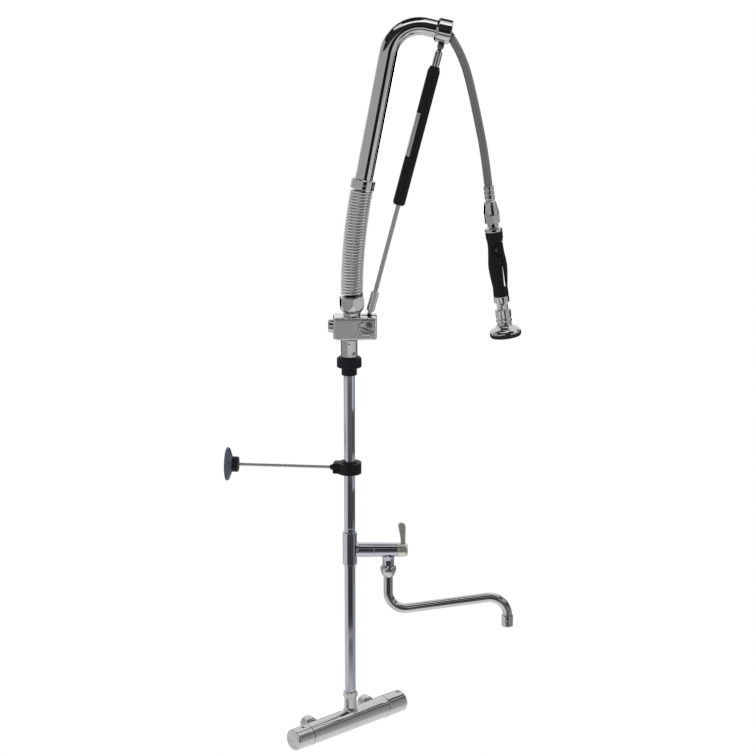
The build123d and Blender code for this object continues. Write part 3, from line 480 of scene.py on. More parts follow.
def modifier(piece, kind, **settings):
    """Add a modifier, set it and apply it."""
    pick(piece)
    added = piece.modifiers.new(kind.lower(), kind)
    for key, value in settings.items():
        setattr(added, key, value)
    bpy.ops.object.modifier_apply(modifier=added.name)
    return piece


def carve(piece, tool, operation="DIFFERENCE"):
    """A Boolean of two solids that uses up the second."""
    modifier(piece, "BOOLEAN", object=tool, operation=operation, solver="EXACT")
    bpy.data.objects.remove(tool)
    return piece


def hexed(piece, across_flats, low, high, turn=0.0):
    """Cut the six flats of a nut on a turned piece."""
    return carve(piece, prism(6, across_flats, low, high, turn), "INTERSECT")


def rounded(piece, width, segments=3, angle=32.0):
    """Bevel the edges that are sharper than an angle in degrees."""
    return modifier(piece, "BEVEL", width=width * MM, segments=segments, limit_method="ANGLE",
                    angle_limit=math.radians(angle), harden_normals=False, use_clamp_overlap=True)


def joined(*pieces):
    """Several pieces as the loose parts of one."""
    clear_selection()
    for piece in pieces:
        piece.select_set(True)
    bpy.context.view_layer.objects.active = pieces[0]
    bpy.ops.object.join()
    return pieces[0]


def smooth(piece):
    """Shade smooth, with creases where faces meet at more than the angle."""
    pick(piece)
    bpy.ops.object.shade_smooth_by_angle(angle=SMOOTH)
    return piece


def ring_start(radius, height=0.0, sides=64):
    """In edit mode, an open ring about z, ready to be drawn out into a pipe."""
    clear_selection()
    bpy.ops.mesh.primitive_circle_add(vertices=sides, radius=radius * MM, location=(0, 0, 0))
    edit()
    bpy.ops.mesh.select_all(action="SELECT")
    bpy.ops.transform.translate(value=(0, 0, height * MM))


def draw_out(right, up):
    """Extrude the selected ring along the place's x and z."""
    bpy.ops.mesh.extrude_region_move(TRANSFORM_OT_translate={"value": (right * MM, 0, up * MM)})


def bend(centre, degrees, steps):
    """Spin the selected ring about a centre given across and up; positive turns z towards x."""
    bpy.ops.mesh.spin(steps=steps, angle=-math.radians(degrees), center=(centre[0] * MM, 0, centre[1] * MM),
                      axis=(0, 1, 0))


def walled(piece, thickness):
    """Give an open skin its wall, inwards."""
    return modifier(piece, "SOLIDIFY", thickness=thickness * MM, offset=-1.0, use_rim=True)


# The record's slot of each finish that isn't named as one.
SLOTS = {"riser_chrome_blue_reflection": "chrome", "block_satin": "satin_chrome", "lever_satin": "satin_chrome",
         "blank_label": "satin_chrome", "dark_flange": "black_plastic"}


def dressed(piece, name, body, finish, *nodes, matrix=None):
    """Name a finished piece, give it its place, finish, body and the CAD nodes that it stands for."""
    if matrix:
        moved(piece, matrix)
    piece.name = piece.data.name = name
    piece.data.materials.clear()
    piece.data.materials.append(FINISHES[finish])
    smooth(piece)
    if body:
        modifier(piece, "WEIGHTED_NORMAL", keep_sharp=True)
        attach(piece, body)
    if nodes:
        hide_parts(*nodes)
    SLOTS.get(finish, finish)
    return piece


# ---------------------------------------------------------------- settings
class FaucetSizes(bpy.types.PropertyGroup):
    """Sizes that change the look and not the frame."""

    edge: bpy.props.FloatProperty(name="Edge rounding", description="Of turned edges, in millimetres",
                                  default=0.5, min=0.05, max=1.5)
    coil_turns: bpy.props.IntProperty(name="Coil turns", description="Turns of the supporting coil",
                                      default=36, min=10, max=60)
    wire: bpy.props.FloatProperty(name="Coil wire radius", description="Radius of the coil's wire",
                                  default=0.00262, min=0.001, max=0.003, unit="LENGTH")
    nozzles: bpy.props.IntProperty(name="Outer nozzles", description="Holes in the spray plate's outer ring",
                                   default=18, min=8, max=30)
    floor_drop: bpy.props.FloatProperty(name="Floor depth", description="From the mixer down to the floor",
                                        default=0.9, min=0.05, max=2.0, unit="LENGTH")


class FaucetColours(bpy.types.PropertyGroup):
    """Base colours of the finishes."""

    chrome: bpy.props.FloatVectorProperty(name="Chrome", description="Bright plated brass", subtype="COLOR",
                                          default=(0.56, 0.56, 0.555), min=0, max=1)
    # Its bluish default is a painted reflection tint on plain chrome.
    riser: bpy.props.FloatVectorProperty(name="Riser chrome", description="Bright plated tube of the riser",
                                         subtype="COLOR", default=(0.53, 0.54, 0.60), min=0, max=1)
    satin: bpy.props.FloatVectorProperty(name="Satin chrome", description="Satin plated castings",
                                         subtype="COLOR", default=(0.68, 0.68, 0.67), min=0, max=1)
    lever: bpy.props.FloatVectorProperty(name="Tap lever", description="Satin lever of the filling tap",
                                         subtype="COLOR", default=(0.72, 0.73, 0.67), min=0, max=1)
    black: bpy.props.FloatVectorProperty(name="Black", description="Black moulded pieces", subtype="COLOR",
                                         default=(0.006, 0.006, 0.009), min=0, max=1)
    floor: bpy.props.FloatVectorProperty(name="Floor", description="Pale studio floor", subtype="COLOR",
                                         default=(0.85, 0.85, 0.85), min=0, max=1)


def sizes():
    """The settings of the scene's faucet."""
    return bpy.context.scene.faucet_sizes


# ---------------------------------------------------------------- stage
class FAUCET_OT_stage(bpy.types.Operator):
    """Set up the camera, the lamps, the white surroundings, the dark cards and the floor"""

    bl_idname = "faucet.stage"
    bl_label = "Stage"

    def execute(self, context):
        context.scene.view_settings.view_transform = "Standard"
        add_camera(context)
        light_world(context)
        lay_floor(context)
        hang_cards()
        hang_lamps()
        return {"FINISHED"}


CAMERA_PLACE = (-2.2750, -2.5747, 1.5)
CAMERA_HEADING = 42.0 + 0.906    # degrees from +Y towards +X
CAMERA_DROP = 13.46              # degrees below level
CAMERA_LENS = 88.86


def add_camera(context):
    """The camera, level from side to side."""
    aim = (math.radians(90 - CAMERA_DROP), 0, math.radians(-CAMERA_HEADING))
    bpy.ops.object.camera_add(location=CAMERA_PLACE, rotation=aim)
    camera = context.object
    camera.name = "camera"
    camera.data.lens = CAMERA_LENS
    camera.data.clip_end = 50
    context.scene.camera = camera


DIFFUSE_WORLD = 0.55      # of the white that the camera and gloss see


def light_world(context):
    """White for the camera and for gloss, softer for diffuse light."""
    world = bpy.data.worlds.new("studio")
    world.use_nodes = True
    context.scene.world = world
    sky = Nodes(world.node_tree)
    seen = sky.ray("Camera") + sky.ray("Glossy") + sky.ray("Transmission")
    share = sky.node("ShaderNodeMath", {"operation": "MINIMUM"}, i0=seen, i1=1.0)
    background = sky.tree.nodes["Background"]
    background.inputs["Color"].default_value = (1, 1, 1, 1)
    feed(sky.tree, background.inputs["Strength"], DIFFUSE_WORLD + share * (1.0 - DIFFUSE_WORLD))


FLOOR_SIZE = 40.0
FADE_START, FADE_END = 0.6, 2.0    # metres round the riser over which the floor turns to plain white
NEAR_SHARE = 0.9                   # of plain white within the first of them
GLOSS_EXTRA, GLOSS_FALL = 0.2, 0.16    # what gloss sees beyond white, and how it falls in each metre


def lay_floor(context):
    """A pale floor that catches the shadow near the faucet and turns to the plain white further out."""
    clear_selection()
    bpy.ops.mesh.primitive_plane_add(size=FLOOR_SIZE, location=(0, 0, -sizes().floor_drop))
    floor = context.object
    floor.name = "floor"
    bpy.ops.object.transform_apply()
    paint = Finish("pale_floor").set(Base_Color=(*context.scene.faucet_colours.floor, 1.0), Roughness=0.9)
    away = paint.node("ShaderNodeVectorMath", {"operation": "LENGTH"}, output="Value", i0=paint.spot())
    fade = paint.node("ShaderNodeMapRange", Value=away, i1=FADE_START, i2=FADE_END, i3=NEAR_SHARE, i4=1.0)
    extra = paint.ray("Glossy") * (GLOSS_EXTRA - away * GLOSS_FALL)
    glow = paint.node("ShaderNodeEmission", Strength=1.0 + extra)
    share = (paint.ray("Camera") + paint.ray("Glossy")) * fade
    lit = Wire(paint.tree, paint.shader.outputs[0])
    paint.show(paint.node("ShaderNodeMixShader", i0=share, i1=lit, i2=glow))
    floor.data.materials.append(paint.material)


# Curved cards round the riser that only gloss sees, as the grey walls and black flags of a studio.
# First and last heading in degrees from +X; distance and height of one edge and of the other in
# metres; brightness at the one edge and at the other.
CARDS = [
    ("left_low", 95, 184, 1.6, -0.6, 1.6, 0.31, 0.85, 0.85),
    ("front_low", 184, 284, 1.6, -0.43, 1.6, 0.02, 0.045, 0.1),
    ("front_band", 196, 284, 1.6, 0.02, 1.6, 0.36, 0.14, 0.2),
    ("front_foot", 196, 284, 1.1, -0.4, 1.1, -0.255, 0.75, 0.12),
    ("left_middle", 95, 205, 3.3, -0.6, 3.3, 0.4, 0.42, 0.45),
    ("front_middle", 205, 264, 3.3, -0.6, 3.3, 0.2, 0.8, 0.85),
    ("right_middle", 264, 330, 3.3, -0.6, 3.3, 0.4, 0.75, 0.75),
    ("left_high", 95, 226, 3.3, 0.4, 3.3, 3.0, 0.56, 0.56),
    ("front_flag", 226, 264, 3.3, 0.2, 3.3, 1.9, 0.015, 0.015),
    ("front_high", 180, 285, 3.4, 1.9, 3.4, 3.0, 0.2, 0.2),
    ("right_high", 264, 330, 3.3, 0.4, 3.3, 1.9, 0.56, 0.56),
    ("far_right", 330, 362, 3.3, -0.9, 3.3, 3.0, 0.28, 0.28),
    ("canopy", 95, 310, 0.52, 1.95, 1.4, 1.95, 0.03, 0.03),
    ("canopy_front", 150, 300, 1.4, 1.47, 1.4, 1.95, 0.04, 0.03),
    ("top_flag", 0, 360, 0.001, 1.96, 0.24, 1.96, 0.02, 0.02),
    ("top_strip", 190, 300, 0.24, 1.95, 0.52, 1.95, 1.7, 1.7),
    ("back_high", 345, 470, 0.6, 1.75, 0.6, 3.4, 0.02, 0.02),
    ("bar_wall", 284, 352, 0.5, -0.22, 0.5, 0.25, 0.6, 0.24),
    ("bar_flag_low", 284, 352, 0.5, 0.25, 0.5, 0.32, 0.1, 0.1),
    ("bar_strip", 284, 352, 0.5, 0.32, 0.5, 0.4, 0.5, 0.5),
    ("bar_flag_high", 284, 352, 0.5, 0.4, 0.5, 0.5, 0.12, 0.12),
]


def hang_cards():
    """The cards as shells about the riser, hidden from all but gloss."""
    for name, start, end, near, low, far, high, first, last in CARDS:
        card = lathe([(near / MM, low / MM), (far / MM, high / MM)], 24, end - start)
        moved(card, Matrix.Translation(CENTRE) @ Matrix.Rotation(math.radians(end), 4, "Z"))
        card.name = name
        card.visible_camera = card.visible_diffuse = card.visible_shadow = card.visible_transmission = False
        cloth = Finish(name + "_cloth")
        height = cloth.node("ShaderNodeSeparateXYZ", output="Z", Vector=cloth.spot())
        top = max(high, low + MM)
        brightness = cloth.node("ShaderNodeMapRange", Value=height, i1=low, i2=top, i3=first, i4=last)
        cloth.show(cloth.node("ShaderNodeEmission", Strength=brightness))
        card.data.materials.append(cloth.material)


# Soft lamps: place, the point they face, size and power.
LAMPS = [
    ("lamp_left", (-2.6, -1.6, 2.4), (0, 0, 0.7), 1.6, 55.0),
    ("lamp_right", (2.2, -2.6, 2.0), (0, 0, 0.7), 1.6, 35.0),
    ("lamp_top", (0.2, -0.6, 3.4), (0, 0, 0.7), 1.4, 30.0),
]


def hang_lamps():
    """The lamps, which gloss doesn't see."""
    for name, spot, target, size, power in LAMPS:
        aim = (Vector(target) - Vector(spot)).to_track_quat("-Z", "Y").to_euler()
        bpy.ops.object.light_add(type="AREA", location=spot, rotation=aim)
        lamp = bpy.context.object
        lamp.name = name
        lamp.data.size = size
        lamp.data.energy = power
        lamp.visible_glossy = False


# ---------------------------------------------------------------- mixer bar
THREAD_MINOR = 12.06
NUT_ACROSS = 29.0
BAR_RADIUS = 21.0
BODY_LEFT, BODY_RIGHT = -109.0, 86.5
SOCKET_TOP = 47.0


def threads(radius, low, high, pitch, depth):
    """The zigzag of an inside thread, from one height to another."""
    turns = int((high - low) / pitch)
    zigzag = []
    for turn in range(turns):
        at = low + turn * pitch
        zigzag += [(radius, at), (radius, at + 0.2 * pitch), (radius + depth, at + 0.6 * pitch)]
    return zigzag + [(radius, low + turns * pitch), (radius, high)]


class FAUCET_OT_mixer_bar(bpy.types.Operator):
    """Build the thermostatic bar, its inlets and its union nuts"""

    bl_idname = "faucet.mixer_bar"
    bl_label = "Mixer bar"

    def execute(self, context):
        edge = sizes().edge
        bar = turned([
            (0, BODY_LEFT), (BAR_RADIUS, BODY_LEFT), (BAR_RADIUS, 70), (21.3, 77), (22.2, 85.6),
            (22.2, BODY_RIGHT), (0, BODY_RIGHT)], edge, 128)
        moved(bar, BAR)
        socket = turned([
            (0, 0), (14.6, 0), (14.0, 20.0), (12.6, 22.4), (12.0, 26.0), (12.0, SOCKET_TOP),
            (0, SOCKET_TOP)])
        carve(bar, moved(socket, CROSS), "UNION")
        for inlet in INLETS:
            stub = turned([
                (0, -46), (12.6, -46), (12.6, -30.2), (10.4, -27.4), (9.4, -25), (9.4, -16), (11.7, -16),
                (11.7, -13.5), (6.5, -13.5), (6.5, -30), (0, -30)], edge, 72)
            carve(bar, moved(stub, inlet), "UNION")
        dressed(bar, "bar_body", "mixer", "chrome", "mixer_body")
        nuts = []
        for inlet in INLETS:
            inside = threads(THREAD_MINOR, -11.5, -1.0, 1.8, 0.75)
            shoulder = flowing([(14.9, -14.0), (14.7, -16.6), (13.8, -18.8), (12.2, -20.0)], 3)
            outline = [
                (9.45, -16), (9.45, -20), *reversed(shoulder), (14.9, -3.0), (14.3, -0.9), (13.6, 0),
                (12.9, 0), *reversed(inside), (12.5, -11.5), (12.5, -16), (9.45, -16)]
            nut = hexed(lathe(outline, 96), NUT_ACROSS - 0.6, -21, 1, 30)
            nuts.append(moved(rounded(nut, 0.35, 2), inlet))
        dressed(joined(*nuts), "inlet_union_nuts", "mixer", "chrome", "union_nuts")
        return {"FINISHED"}


BUTTON_RADIUS = 4.6
# Name, start along the bar and way along it, radius of the barrel and of its lip, length, and
# where along the knob its stop button stands.
KNOBS = (("temperature", BODY_RIGHT, 1, 21.6, 22.4, 48.5, 40.0),
         ("flow", BODY_LEFT, -1, 20.4, 20.9, 38.5, 13.5))


def knob_shape(radius, lip, length):
    """A knob's outline: lip, barrel, and an end face with two fine turned rings."""
    return eased([
        (0, 0.3), (lip - 0.8, 0.3), (lip, 1.3), (radius + 0.15, 5.2), (radius, 6.6), (radius, length - 1.8),
        (radius - 1.8, length), (radius - 4.6, length), (radius - 4.9, length - 0.5),
        (radius - 6.1, length - 0.5), (radius - 6.4, length), (7.2, length), (6.9, length - 0.4),
        (0, length - 0.4)], 0.7, 4)


class FAUCET_OT_knobs(bpy.types.Operator):
    """Build the temperature and flow knobs with their stop buttons"""

    bl_idname = "faucet.knobs"
    bl_label = "Knobs"

    def execute(self, context):
        for name, start, way, radius, lip, length, button_at in KNOBS:
            spot = place(CENTRE + RIGHT * start * MM, RIGHT * way, UP)
            well = place(CENTRE + RIGHT * (start + way * button_at) * MM, UP, RIGHT)
            knob = moved(lathe(knob_shape(radius, lip, length), 128), spot)
            carve(knob, moved(prism(64, 2 * BUTTON_RADIUS + 0.5, radius - 5.8, radius + 6), well))
            dressed(rounded(knob, 0.25, 2, 50), name + "_handle", name + "_knob", "chrome", name + "_knob")
            dome = flowing([(0, radius + 2.2), (2.2, radius + 1.9), (3.9, radius + 1.1)], 4)
            cap = lathe([
                *dome, (BUTTON_RADIUS - 0.1, radius + 0.4), (BUTTON_RADIUS, radius - 0.3),
                (BUTTON_RADIUS, radius - 3.5), (0, radius - 3.5)], 48)
            dressed(moved(cap, well), name + "_stop", name + "_button", "chrome", name + "_button")
        return {"FINISHED"}


# ---------------------------------------------------------------- riser and filling tap
RISER_WALL = 1.2
RISER_LOW, LOWER_END = 50.0, 333.0
UPPER_START, RISER_HIGH = 371.0, 700.0
RISER_NUT_ACROSS = 24.4


class FAUCET_OT_riser(bpy.types.Operator):
    """Build the riser's two tubes and the nut at its foot"""

    bl_idname = "faucet.riser"
    bl_label = "Riser"

    def execute(self, context):
        edge = sizes().edge
        inner = RISER_RADIUS - RISER_WALL
        lower = turned(sleeve(inner, RISER_RADIUS, RISER_LOW, LOWER_END), edge)
        dressed(lower, "riser_tube_low", "mixer", "riser_chrome_blue_reflection", "riser_pipe_lower", matrix=RISER)
        upper = turned([
            (inner, UPPER_START), (RISER_RADIUS, UPPER_START), (RISER_RADIUS, 391.4), (10.15, 391.9),
            (10.15, 392.5), (RISER_RADIUS, 393.0), (RISER_RADIUS, RISER_HIGH), (inner, RISER_HIGH),
            (inner, UPPER_START)], 0.3)
        dressed(upper, "riser_tube_high", "mixer", "riser_chrome_blue_reflection", "riser_pipe_upper", matrix=RISER)
        body = turned([
            (0, SOCKET_TOP), (12.9, SOCKET_TOP), (14.0, 48.2), (14.0, 56.6), (12.4, 57.6), (12.2, 57.8),
            (11.6, 59.5), (0, 59.5)], 0.3)
        nut = rounded(hexed(body, RISER_NUT_ACROSS, 46, 60, 30), 0.35, 2)
        carve(nut, lathe(post(RISER_RADIUS + 0.05, 46, 61), 72))
        dressed(nut, "riser_foot_nut", "mixer", "chrome", "riser_nut", matrix=RISER)
        return {"FINISHED"}


TEE_RADIUS = 13.9
TEE_LOW, TEE_HIGH = 320.0, 384.0
TAP_JOINT, TAP_END = 46.0, 91.3


class FAUCET_OT_filling_tap(bpy.types.Operator):
    """Build the tee on the riser, the tap's body and its spout nut"""

    bl_idname = "faucet.filling_tap"
    bl_label = "Filling tap"

    def execute(self, context):
        edge = sizes().edge
        bore = RISER_RADIUS + 0.02
        tee = moved(turned([
            (bore, TEE_LOW), (TEE_RADIUS, TEE_LOW), (TEE_RADIUS, TEE_HIGH), (bore, TEE_HIGH),
            (bore, UPPER_START), (9.3, UPPER_START), (9.3, LOWER_END), (bore, LOWER_END), (bore, TEE_LOW)],
            edge), RISER)
        branch = turned([
            (0, 11.5), (TEE_RADIUS + 1.2, 11.5), (TEE_RADIUS + 1.2, 13.2), (TEE_RADIUS, 16.4),
            (TEE_RADIUS, TAP_JOINT - 0.2), (0, TAP_JOINT - 0.2)], 0.8)
        carve(tee, moved(branch, TAP), "UNION")
        dressed(rounded(tee, 0.9, 3, 38), "riser_tee", "mixer", "riser_chrome_blue_reflection", "tap_tee")
        body = moved(turned([
            (0, TAP_JOINT), (TEE_RADIUS - 0.2, TAP_JOINT), (TEE_RADIUS, TAP_JOINT + 0.6),
            (TEE_RADIUS - 0.2, 60), (TEE_RADIUS - 0.6, TAP_END), (0, TAP_END)], edge), TAP)
        stub = turned([
            (0, 310), (10.0, 310), (10.0, 318), (11.6, 318.6), (11.6, 329), (12.2, 333.2), (13.2, 336.4),
            (0, 348)], 0.6, 72)
        carve(body, moved(stub, SPOUT), "UNION")
        dressed(rounded(body, 0.5, 2, 38), "tap_casting", "mixer", "riser_chrome_blue_reflection", "tap_body")
        bulb = flowing([
            (12.4, 317.0), (13.9, 315.4), (15.0, 312.4), (15.3, 309.2), (14.8, 304.6), (13.2, 299.8),
            (11.0, 295.6)], 4)
        nut = lathe([(10.05, 306), (10.05, 317), *bulb, (9.2, 295.6), (9.2, 306), (10.05, 306)], 96)
        dressed(nut, "spout_union", "mixer", "chrome", "spout_nut", matrix=SPOUT)
        return {"FINISHED"}


LEVER_HALF = 3.6


class FAUCET_OT_tap_lever(bpy.types.Operator):
    """Build the filling tap's upright lever and its screw"""

    bl_idname = "faucet.tap_lever"
    bl_label = "Tap lever"

    def execute(self, context):
        hub = turned([
            (0, 91.6), (13.4, 91.6), (13.8, 92.4), (13.9, 98), (13.5, 106.5), (11.2, 110.3), (5.2, 110.8),
            (4.6, 109.6), (0, 109.6)], 0.8, 96, 4)
        outline = flowing([
            (96.0, 350.0), (97.2, 362.0), (96.0, 374.0), (93.2, 390.0), (92.4, 397.0), (94.4, 401.4),
            (98.4, 402.5), (102.6, 401.2), (105.6, 397.2), (106.5, 390.0), (106.2, 370.0), (106.0, 350.0)],
            3)
        blade = rounded(slab([*outline, outline[0]], -LEVER_HALF, LEVER_HALF), 1.5, 4, 40)
        lever = carve(moved(hub, TAP), moved(blade, RISER), "UNION")
        dressed(lever, "tap_handle_lever", "tap_handle", "lever_satin", "tap_lever")
        screw = carve(turned(post(3.1, 104.4, 110.3), 0.3, 32), prism(6, 2.6, 108, 112))
        dressed(screw, "tap_lever_screw", "tap_handle", "steel", "lever_screw", matrix=TAP)
        return {"FINISHED"}


SPOUT_OFFSET, SPOUT_REACH = 73.5, 304.0
SPOUT_LOW = 224.0
SPOUT_RADIUS, SPOUT_WALL = 9.1, 1.2
SPOUT_START = 309.0       # the tube's foot, inside the spout nut
FIRST_BEND, LAST_BEND = 33.0, 36.0
AERATOR_LOW, AERATOR_HIGH = 192.3, 214.8


class FAUCET_OT_spout(bpy.types.Operator):
    """Build the swivelling spout tube and its aerator"""

    bl_idname = "faucet.spout"
    bl_label = "Spout"

    def execute(self, context):
        lean, across = math.radians(SPOUT_LEAN), SPOUT_REACH - SPOUT_OFFSET
        down_turn = 90 + SPOUT_LEAN
        first = FIRST_BEND * math.tan(math.radians(down_turn / 2))
        last = LAST_BEND * math.tan(math.radians(down_turn / 2))
        run = across / math.cos(lean) - first - last
        high = SPOUT_LOW + across * math.tan(lean)
        ring_start(SPOUT_RADIUS, SPOUT_START)
        draw_out(0, SPOUT_LOW + first - SPOUT_START)
        bend((FIRST_BEND, SPOUT_LOW + first), -down_turn, 28)
        draw_out(run * math.cos(lean), run * math.sin(lean))
        bend((across - LAST_BEND, high - last), down_turn, 28)
        draw_out(0, AERATOR_LOW + 14 - (high - last))
        tube = walled(leave_edit(), SPOUT_WALL)
        dressed(tube, "spout_pipe", "spout", "chrome", "spout_tube", matrix=SPOUT)
        shell = turned([
            (9.3, AERATOR_HIGH), (10.3, AERATOR_HIGH), (11.2, AERATOR_HIGH - 1.3),
            (11.2, AERATOR_LOW + 12.6), (10.8, AERATOR_LOW + 12.2), (10.8, AERATOR_LOW + 11.6),
            (11.2, AERATOR_LOW + 11.2), (11.2, AERATOR_LOW + 0.8), (10.6, AERATOR_LOW), (8.6, AERATOR_LOW),
            (8.6, AERATOR_LOW + 12), (9.3, AERATOR_LOW + 12), (9.3, AERATOR_HIGH)], 0.4, 72)
        outlet = leaning(CENTRE + REACH * SPOUT_REACH * MM)
        dressed(shell, "aerator_housing", "spout", "chrome", "aerator_shell", matrix=outlet)
        return {"FINISHED"}


# ---------------------------------------------------------------- wall stay
ROD_RADIUS = 3.0
ROD_START = 17.5
WALL_FACE = 236.0
CLAMP_RADIUS, CLAMP_HALF, CLAMP_END = 22.5, 10.5, 31.5
TAIL_HALF = 13.5
BUSH_RADIUS = 13.0


class FAUCET_OT_wall_stay(bpy.types.Operator):
    """Build the riser clamp, its bush, the rod and the wall rosette"""

    bl_idname = "faucet.wall_stay"
    bl_label = "Wall stay"

    def execute(self, context):
        bush = turned([
            (10.55, -12.2), (15.0, -12.2), (15.0, -10.7), (BUSH_RADIUS, -10.7), (BUSH_RADIUS, 10.7),
            (15.0, 10.7), (15.0, 12.2), (10.55, 12.2), (10.55, -12.2)], 0.3, 72)
        dressed(bush, "stay_bush", "bracket_bush", "black_plastic", "clamp_bush", matrix=CLAMP)
        clamp = lathe(post(CLAMP_RADIUS, -CLAMP_HALF, CLAMP_HALF))
        tail = box((0, -TAIL_HALF, -CLAMP_HALF), (CLAMP_END, TAIL_HALF, CLAMP_HALF))
        carve(clamp, rounded(tail, 4.0, 4, 60), "UNION")
        rounded(clamp, 1.1, 3)
        carve(clamp, prism(72, 2 * BUSH_RADIUS + 0.1, -20, 20))
        dressed(clamp, "stay_clamp", "bracket", "black_paint", "clamp_body", matrix=CLAMP)
        rod = turned(post(ROD_RADIUS, ROD_START, WALL_FACE), 0.3, 48)
        dressed(rod, "stay_rod", "bracket", "steel", "bracket_rod", matrix=BRACKET)
        nut = turned([
            (ROD_RADIUS, CLAMP_END), (5.6, CLAMP_END), (5.6, CLAMP_END + 2.5), (3.7, CLAMP_END + 6.0),
            (ROD_RADIUS, CLAMP_END + 6.0), (ROD_RADIUS, CLAMP_END)], 0.4, 48)
        dressed(nut, "stay_lock_nut", "bracket", "black_plastic", "rod_lock_nut", matrix=BRACKET)
        flange = turned([
            (13.0, 224.6), (14.9, 224.6), (17.0, 226.6), (30.4, 231.8), (31.8, 233.0), (31.8, WALL_FACE),
            (29.5, WALL_FACE), (29.5, 233.3), (13.0, 227.6), (13.0, 224.6)], 0.8, 96, 4)
        dressed(flange, "stay_flange", "bracket", "dark_flange", matrix=BRACKET)
        cup = turned([
            (ROD_RADIUS, 213.5), (13.6, 213.5), (14.8, 214.6), (14.8, 225.4), (12.6, 225.4), (12.6, 217.0),
            (ROD_RADIUS, 217.0), (ROD_RADIUS, 213.5)], 0.8, 96, 4)
        dressed(cup, "stay_rosette", "bracket", "black_paint", "wall_rosette", matrix=BRACKET)
        return {"FINISHED"}


# ---------------------------------------------------------------- swivel and block
CONNECTOR_RADIUS = 15.5
SMALL_SCREW = facing(CENTRE + UP * 754.0 * MM)
LARGE_SCREW = facing(CENTRE + (REACH * 8.5 + UP * 735.5) * MM)


class FAUCET_OT_swivel(bpy.types.Operator):
    """Build the black swivel collar and the connector above it"""

    bl_idname = "faucet.swivel"
    bl_label = "Swivel"

    def execute(self, context):
        collar = turned([
            (RISER_RADIUS, 692.5), (13.5, 692.5), (14.5, 693.5), (14.5, 707.6), (22.2, 708), (23.2, 709),
            (23.2, 724.6), (20.2, 727.4), (9.95, 727.5), (9.95, 700), (RISER_RADIUS, 700),
            (RISER_RADIUS, 692.5)])
        dressed(collar, "swivel_nut", "mixer", "black_plastic", "swivel_collar", matrix=RISER)
        joint_piece = turned([
            (0, 727.8), (CONNECTOR_RADIUS - 0.6, 727.8), (CONNECTOR_RADIUS, 728.4),
            (CONNECTOR_RADIUS, 759.8), (14.3, 761.0), (14.3, 763.5), (9.9, 763.5), (9.9, 772), (0, 772)])
        spigot = turned(post(9.9, 702, 727.8), 0.4, 48)
        joint_piece = moved(joined(joint_piece, spigot), RISER)
        for spot, radius in ((SMALL_SCREW, 1.7), (LARGE_SCREW, 3.2)):
            carve(joint_piece, moved(prism(32, 2 * radius, 8.0, 18.0), spot))
        dressed(rounded(joint_piece, 0.2, 2, 50), "swivel_connector", "head", "chrome", "connector")
        small = moved(lathe([
            (0, 8.5), (1.65, 8.5), (1.65, 13.4), (1.2, 13.8), (0.7, 12.4), (0, 12.4)], 24), SMALL_SCREW)
        large = carve(turned([
            (0, 9.2), (3.15, 9.2), (3.15, 13.6), (2.7, 14.0), (0, 14.2)], 0.3, 32), prism(6, 2.6, 12.4, 16))
        moved(large, LARGE_SCREW)
        dressed(joined(small, large), "connector_screws", "head", "steel", "set_screws")
        return {"FINISHED"}


BLOCK_LEFT, BLOCK_RIGHT = -29.5, 51.5
BLOCK_LOW, BLOCK_HIGH = 763.5, 806.0
BLOCK_HALF = 26.0
STRUT_SLOT = ((23.0, -4.8, 777.0), (63.0, 4.8, 820.0))    # the corners of what is cut out for the strut
NOTCH_TILT = 17.0         # degrees by which the screw's notch is off level


class FAUCET_OT_block(bpy.types.Operator):
    """Build the satin block that carries the coil and the strut, with its plug and pivot screw"""

    bl_idname = "faucet.block"
    bl_label = "Pivot block"

    def execute(self, context):
        block = box((BLOCK_LEFT, -BLOCK_HALF, BLOCK_LOW), (BLOCK_RIGHT, BLOCK_HALF, BLOCK_HIGH))
        round_uprights(block, 5.0)
        rounded(block, 1.5, 4, 60)
        moved(block, RISER)
        carve(block, moved(rounded(box(*STRUT_SLOT), 0.6, 2, 60), RISER))
        seat = lathe([(0, 22.0), (15.0, 22.0), (15.0, 25.4), (15.8, 26.4), (15.8, 30), (0, 30)], 96)
        carve(block, moved(seat, PIVOT_FRONT))
        dressed(rounded(block, 0.3, 2, 50), "head_block", "head", "block_satin", "pivot_block")
        screw = turned([
            (0, 8.0), (14.6, 8.0), (14.6, 26.0), (13.4, 27.6), (10.8, 28.2), (7.0, 28.8), (3.5, 29.05),
            (0, 29.1)], 0.8)
        notch = moved(box((-15.0, -1.3, 24.6), (15.0, 1.3, 32.0)),
                      Matrix.Rotation(math.radians(-NOTCH_TILT), 4, "Z"))
        carve(screw, notch)
        dressed(rounded(screw, 0.25, 2, 40), "pivot_head_screw", "head", "satin_chrome", "pivot_screw",
                matrix=PIVOT_FRONT)
        plug = turned([
            (0, -29.5), (12.8, -29.5), (12.6, -35.5), (12.0, -38.0), (10.2, -39.0), (0, -39.0)], 0.6, 72)
        carve(plug, prism(6, 7.0, -42, -35))
        dressed(rounded(plug, 0.3, 2, 40), "block_end_plug", "head", "chrome", "block_plug",
                matrix=leaning(CENTRE + UP * PLUG_HEIGHT * MM, 90))
        return {"FINISHED"}


def round_uprights(piece, radius):
    """Bevel the edges of a block that stand along z."""
    pick(piece)
    for vertex in piece.data.vertices:
        vertex.select = False
    for edge in piece.data.edges:
        a, b = (piece.data.vertices[index].co for index in edge.vertices)
        edge.select = abs(a.z - b.z) > 0.9 * (a - b).length
    edit()
    bpy.ops.mesh.select_mode(type="EDGE")
    bpy.ops.mesh.bevel(offset=radius * MM, segments=8)
    bpy.ops.mesh.select_mode(type="VERT")
    leave_edit()


# ---------------------------------------------------------------- coil
COIL_RADIUS = 18.0
COIL_NUT_ACROSS, COIL_NUT_TURN = 43.4, 5.0
WIRE_SIDES, COIL_STEPS = 14, 40


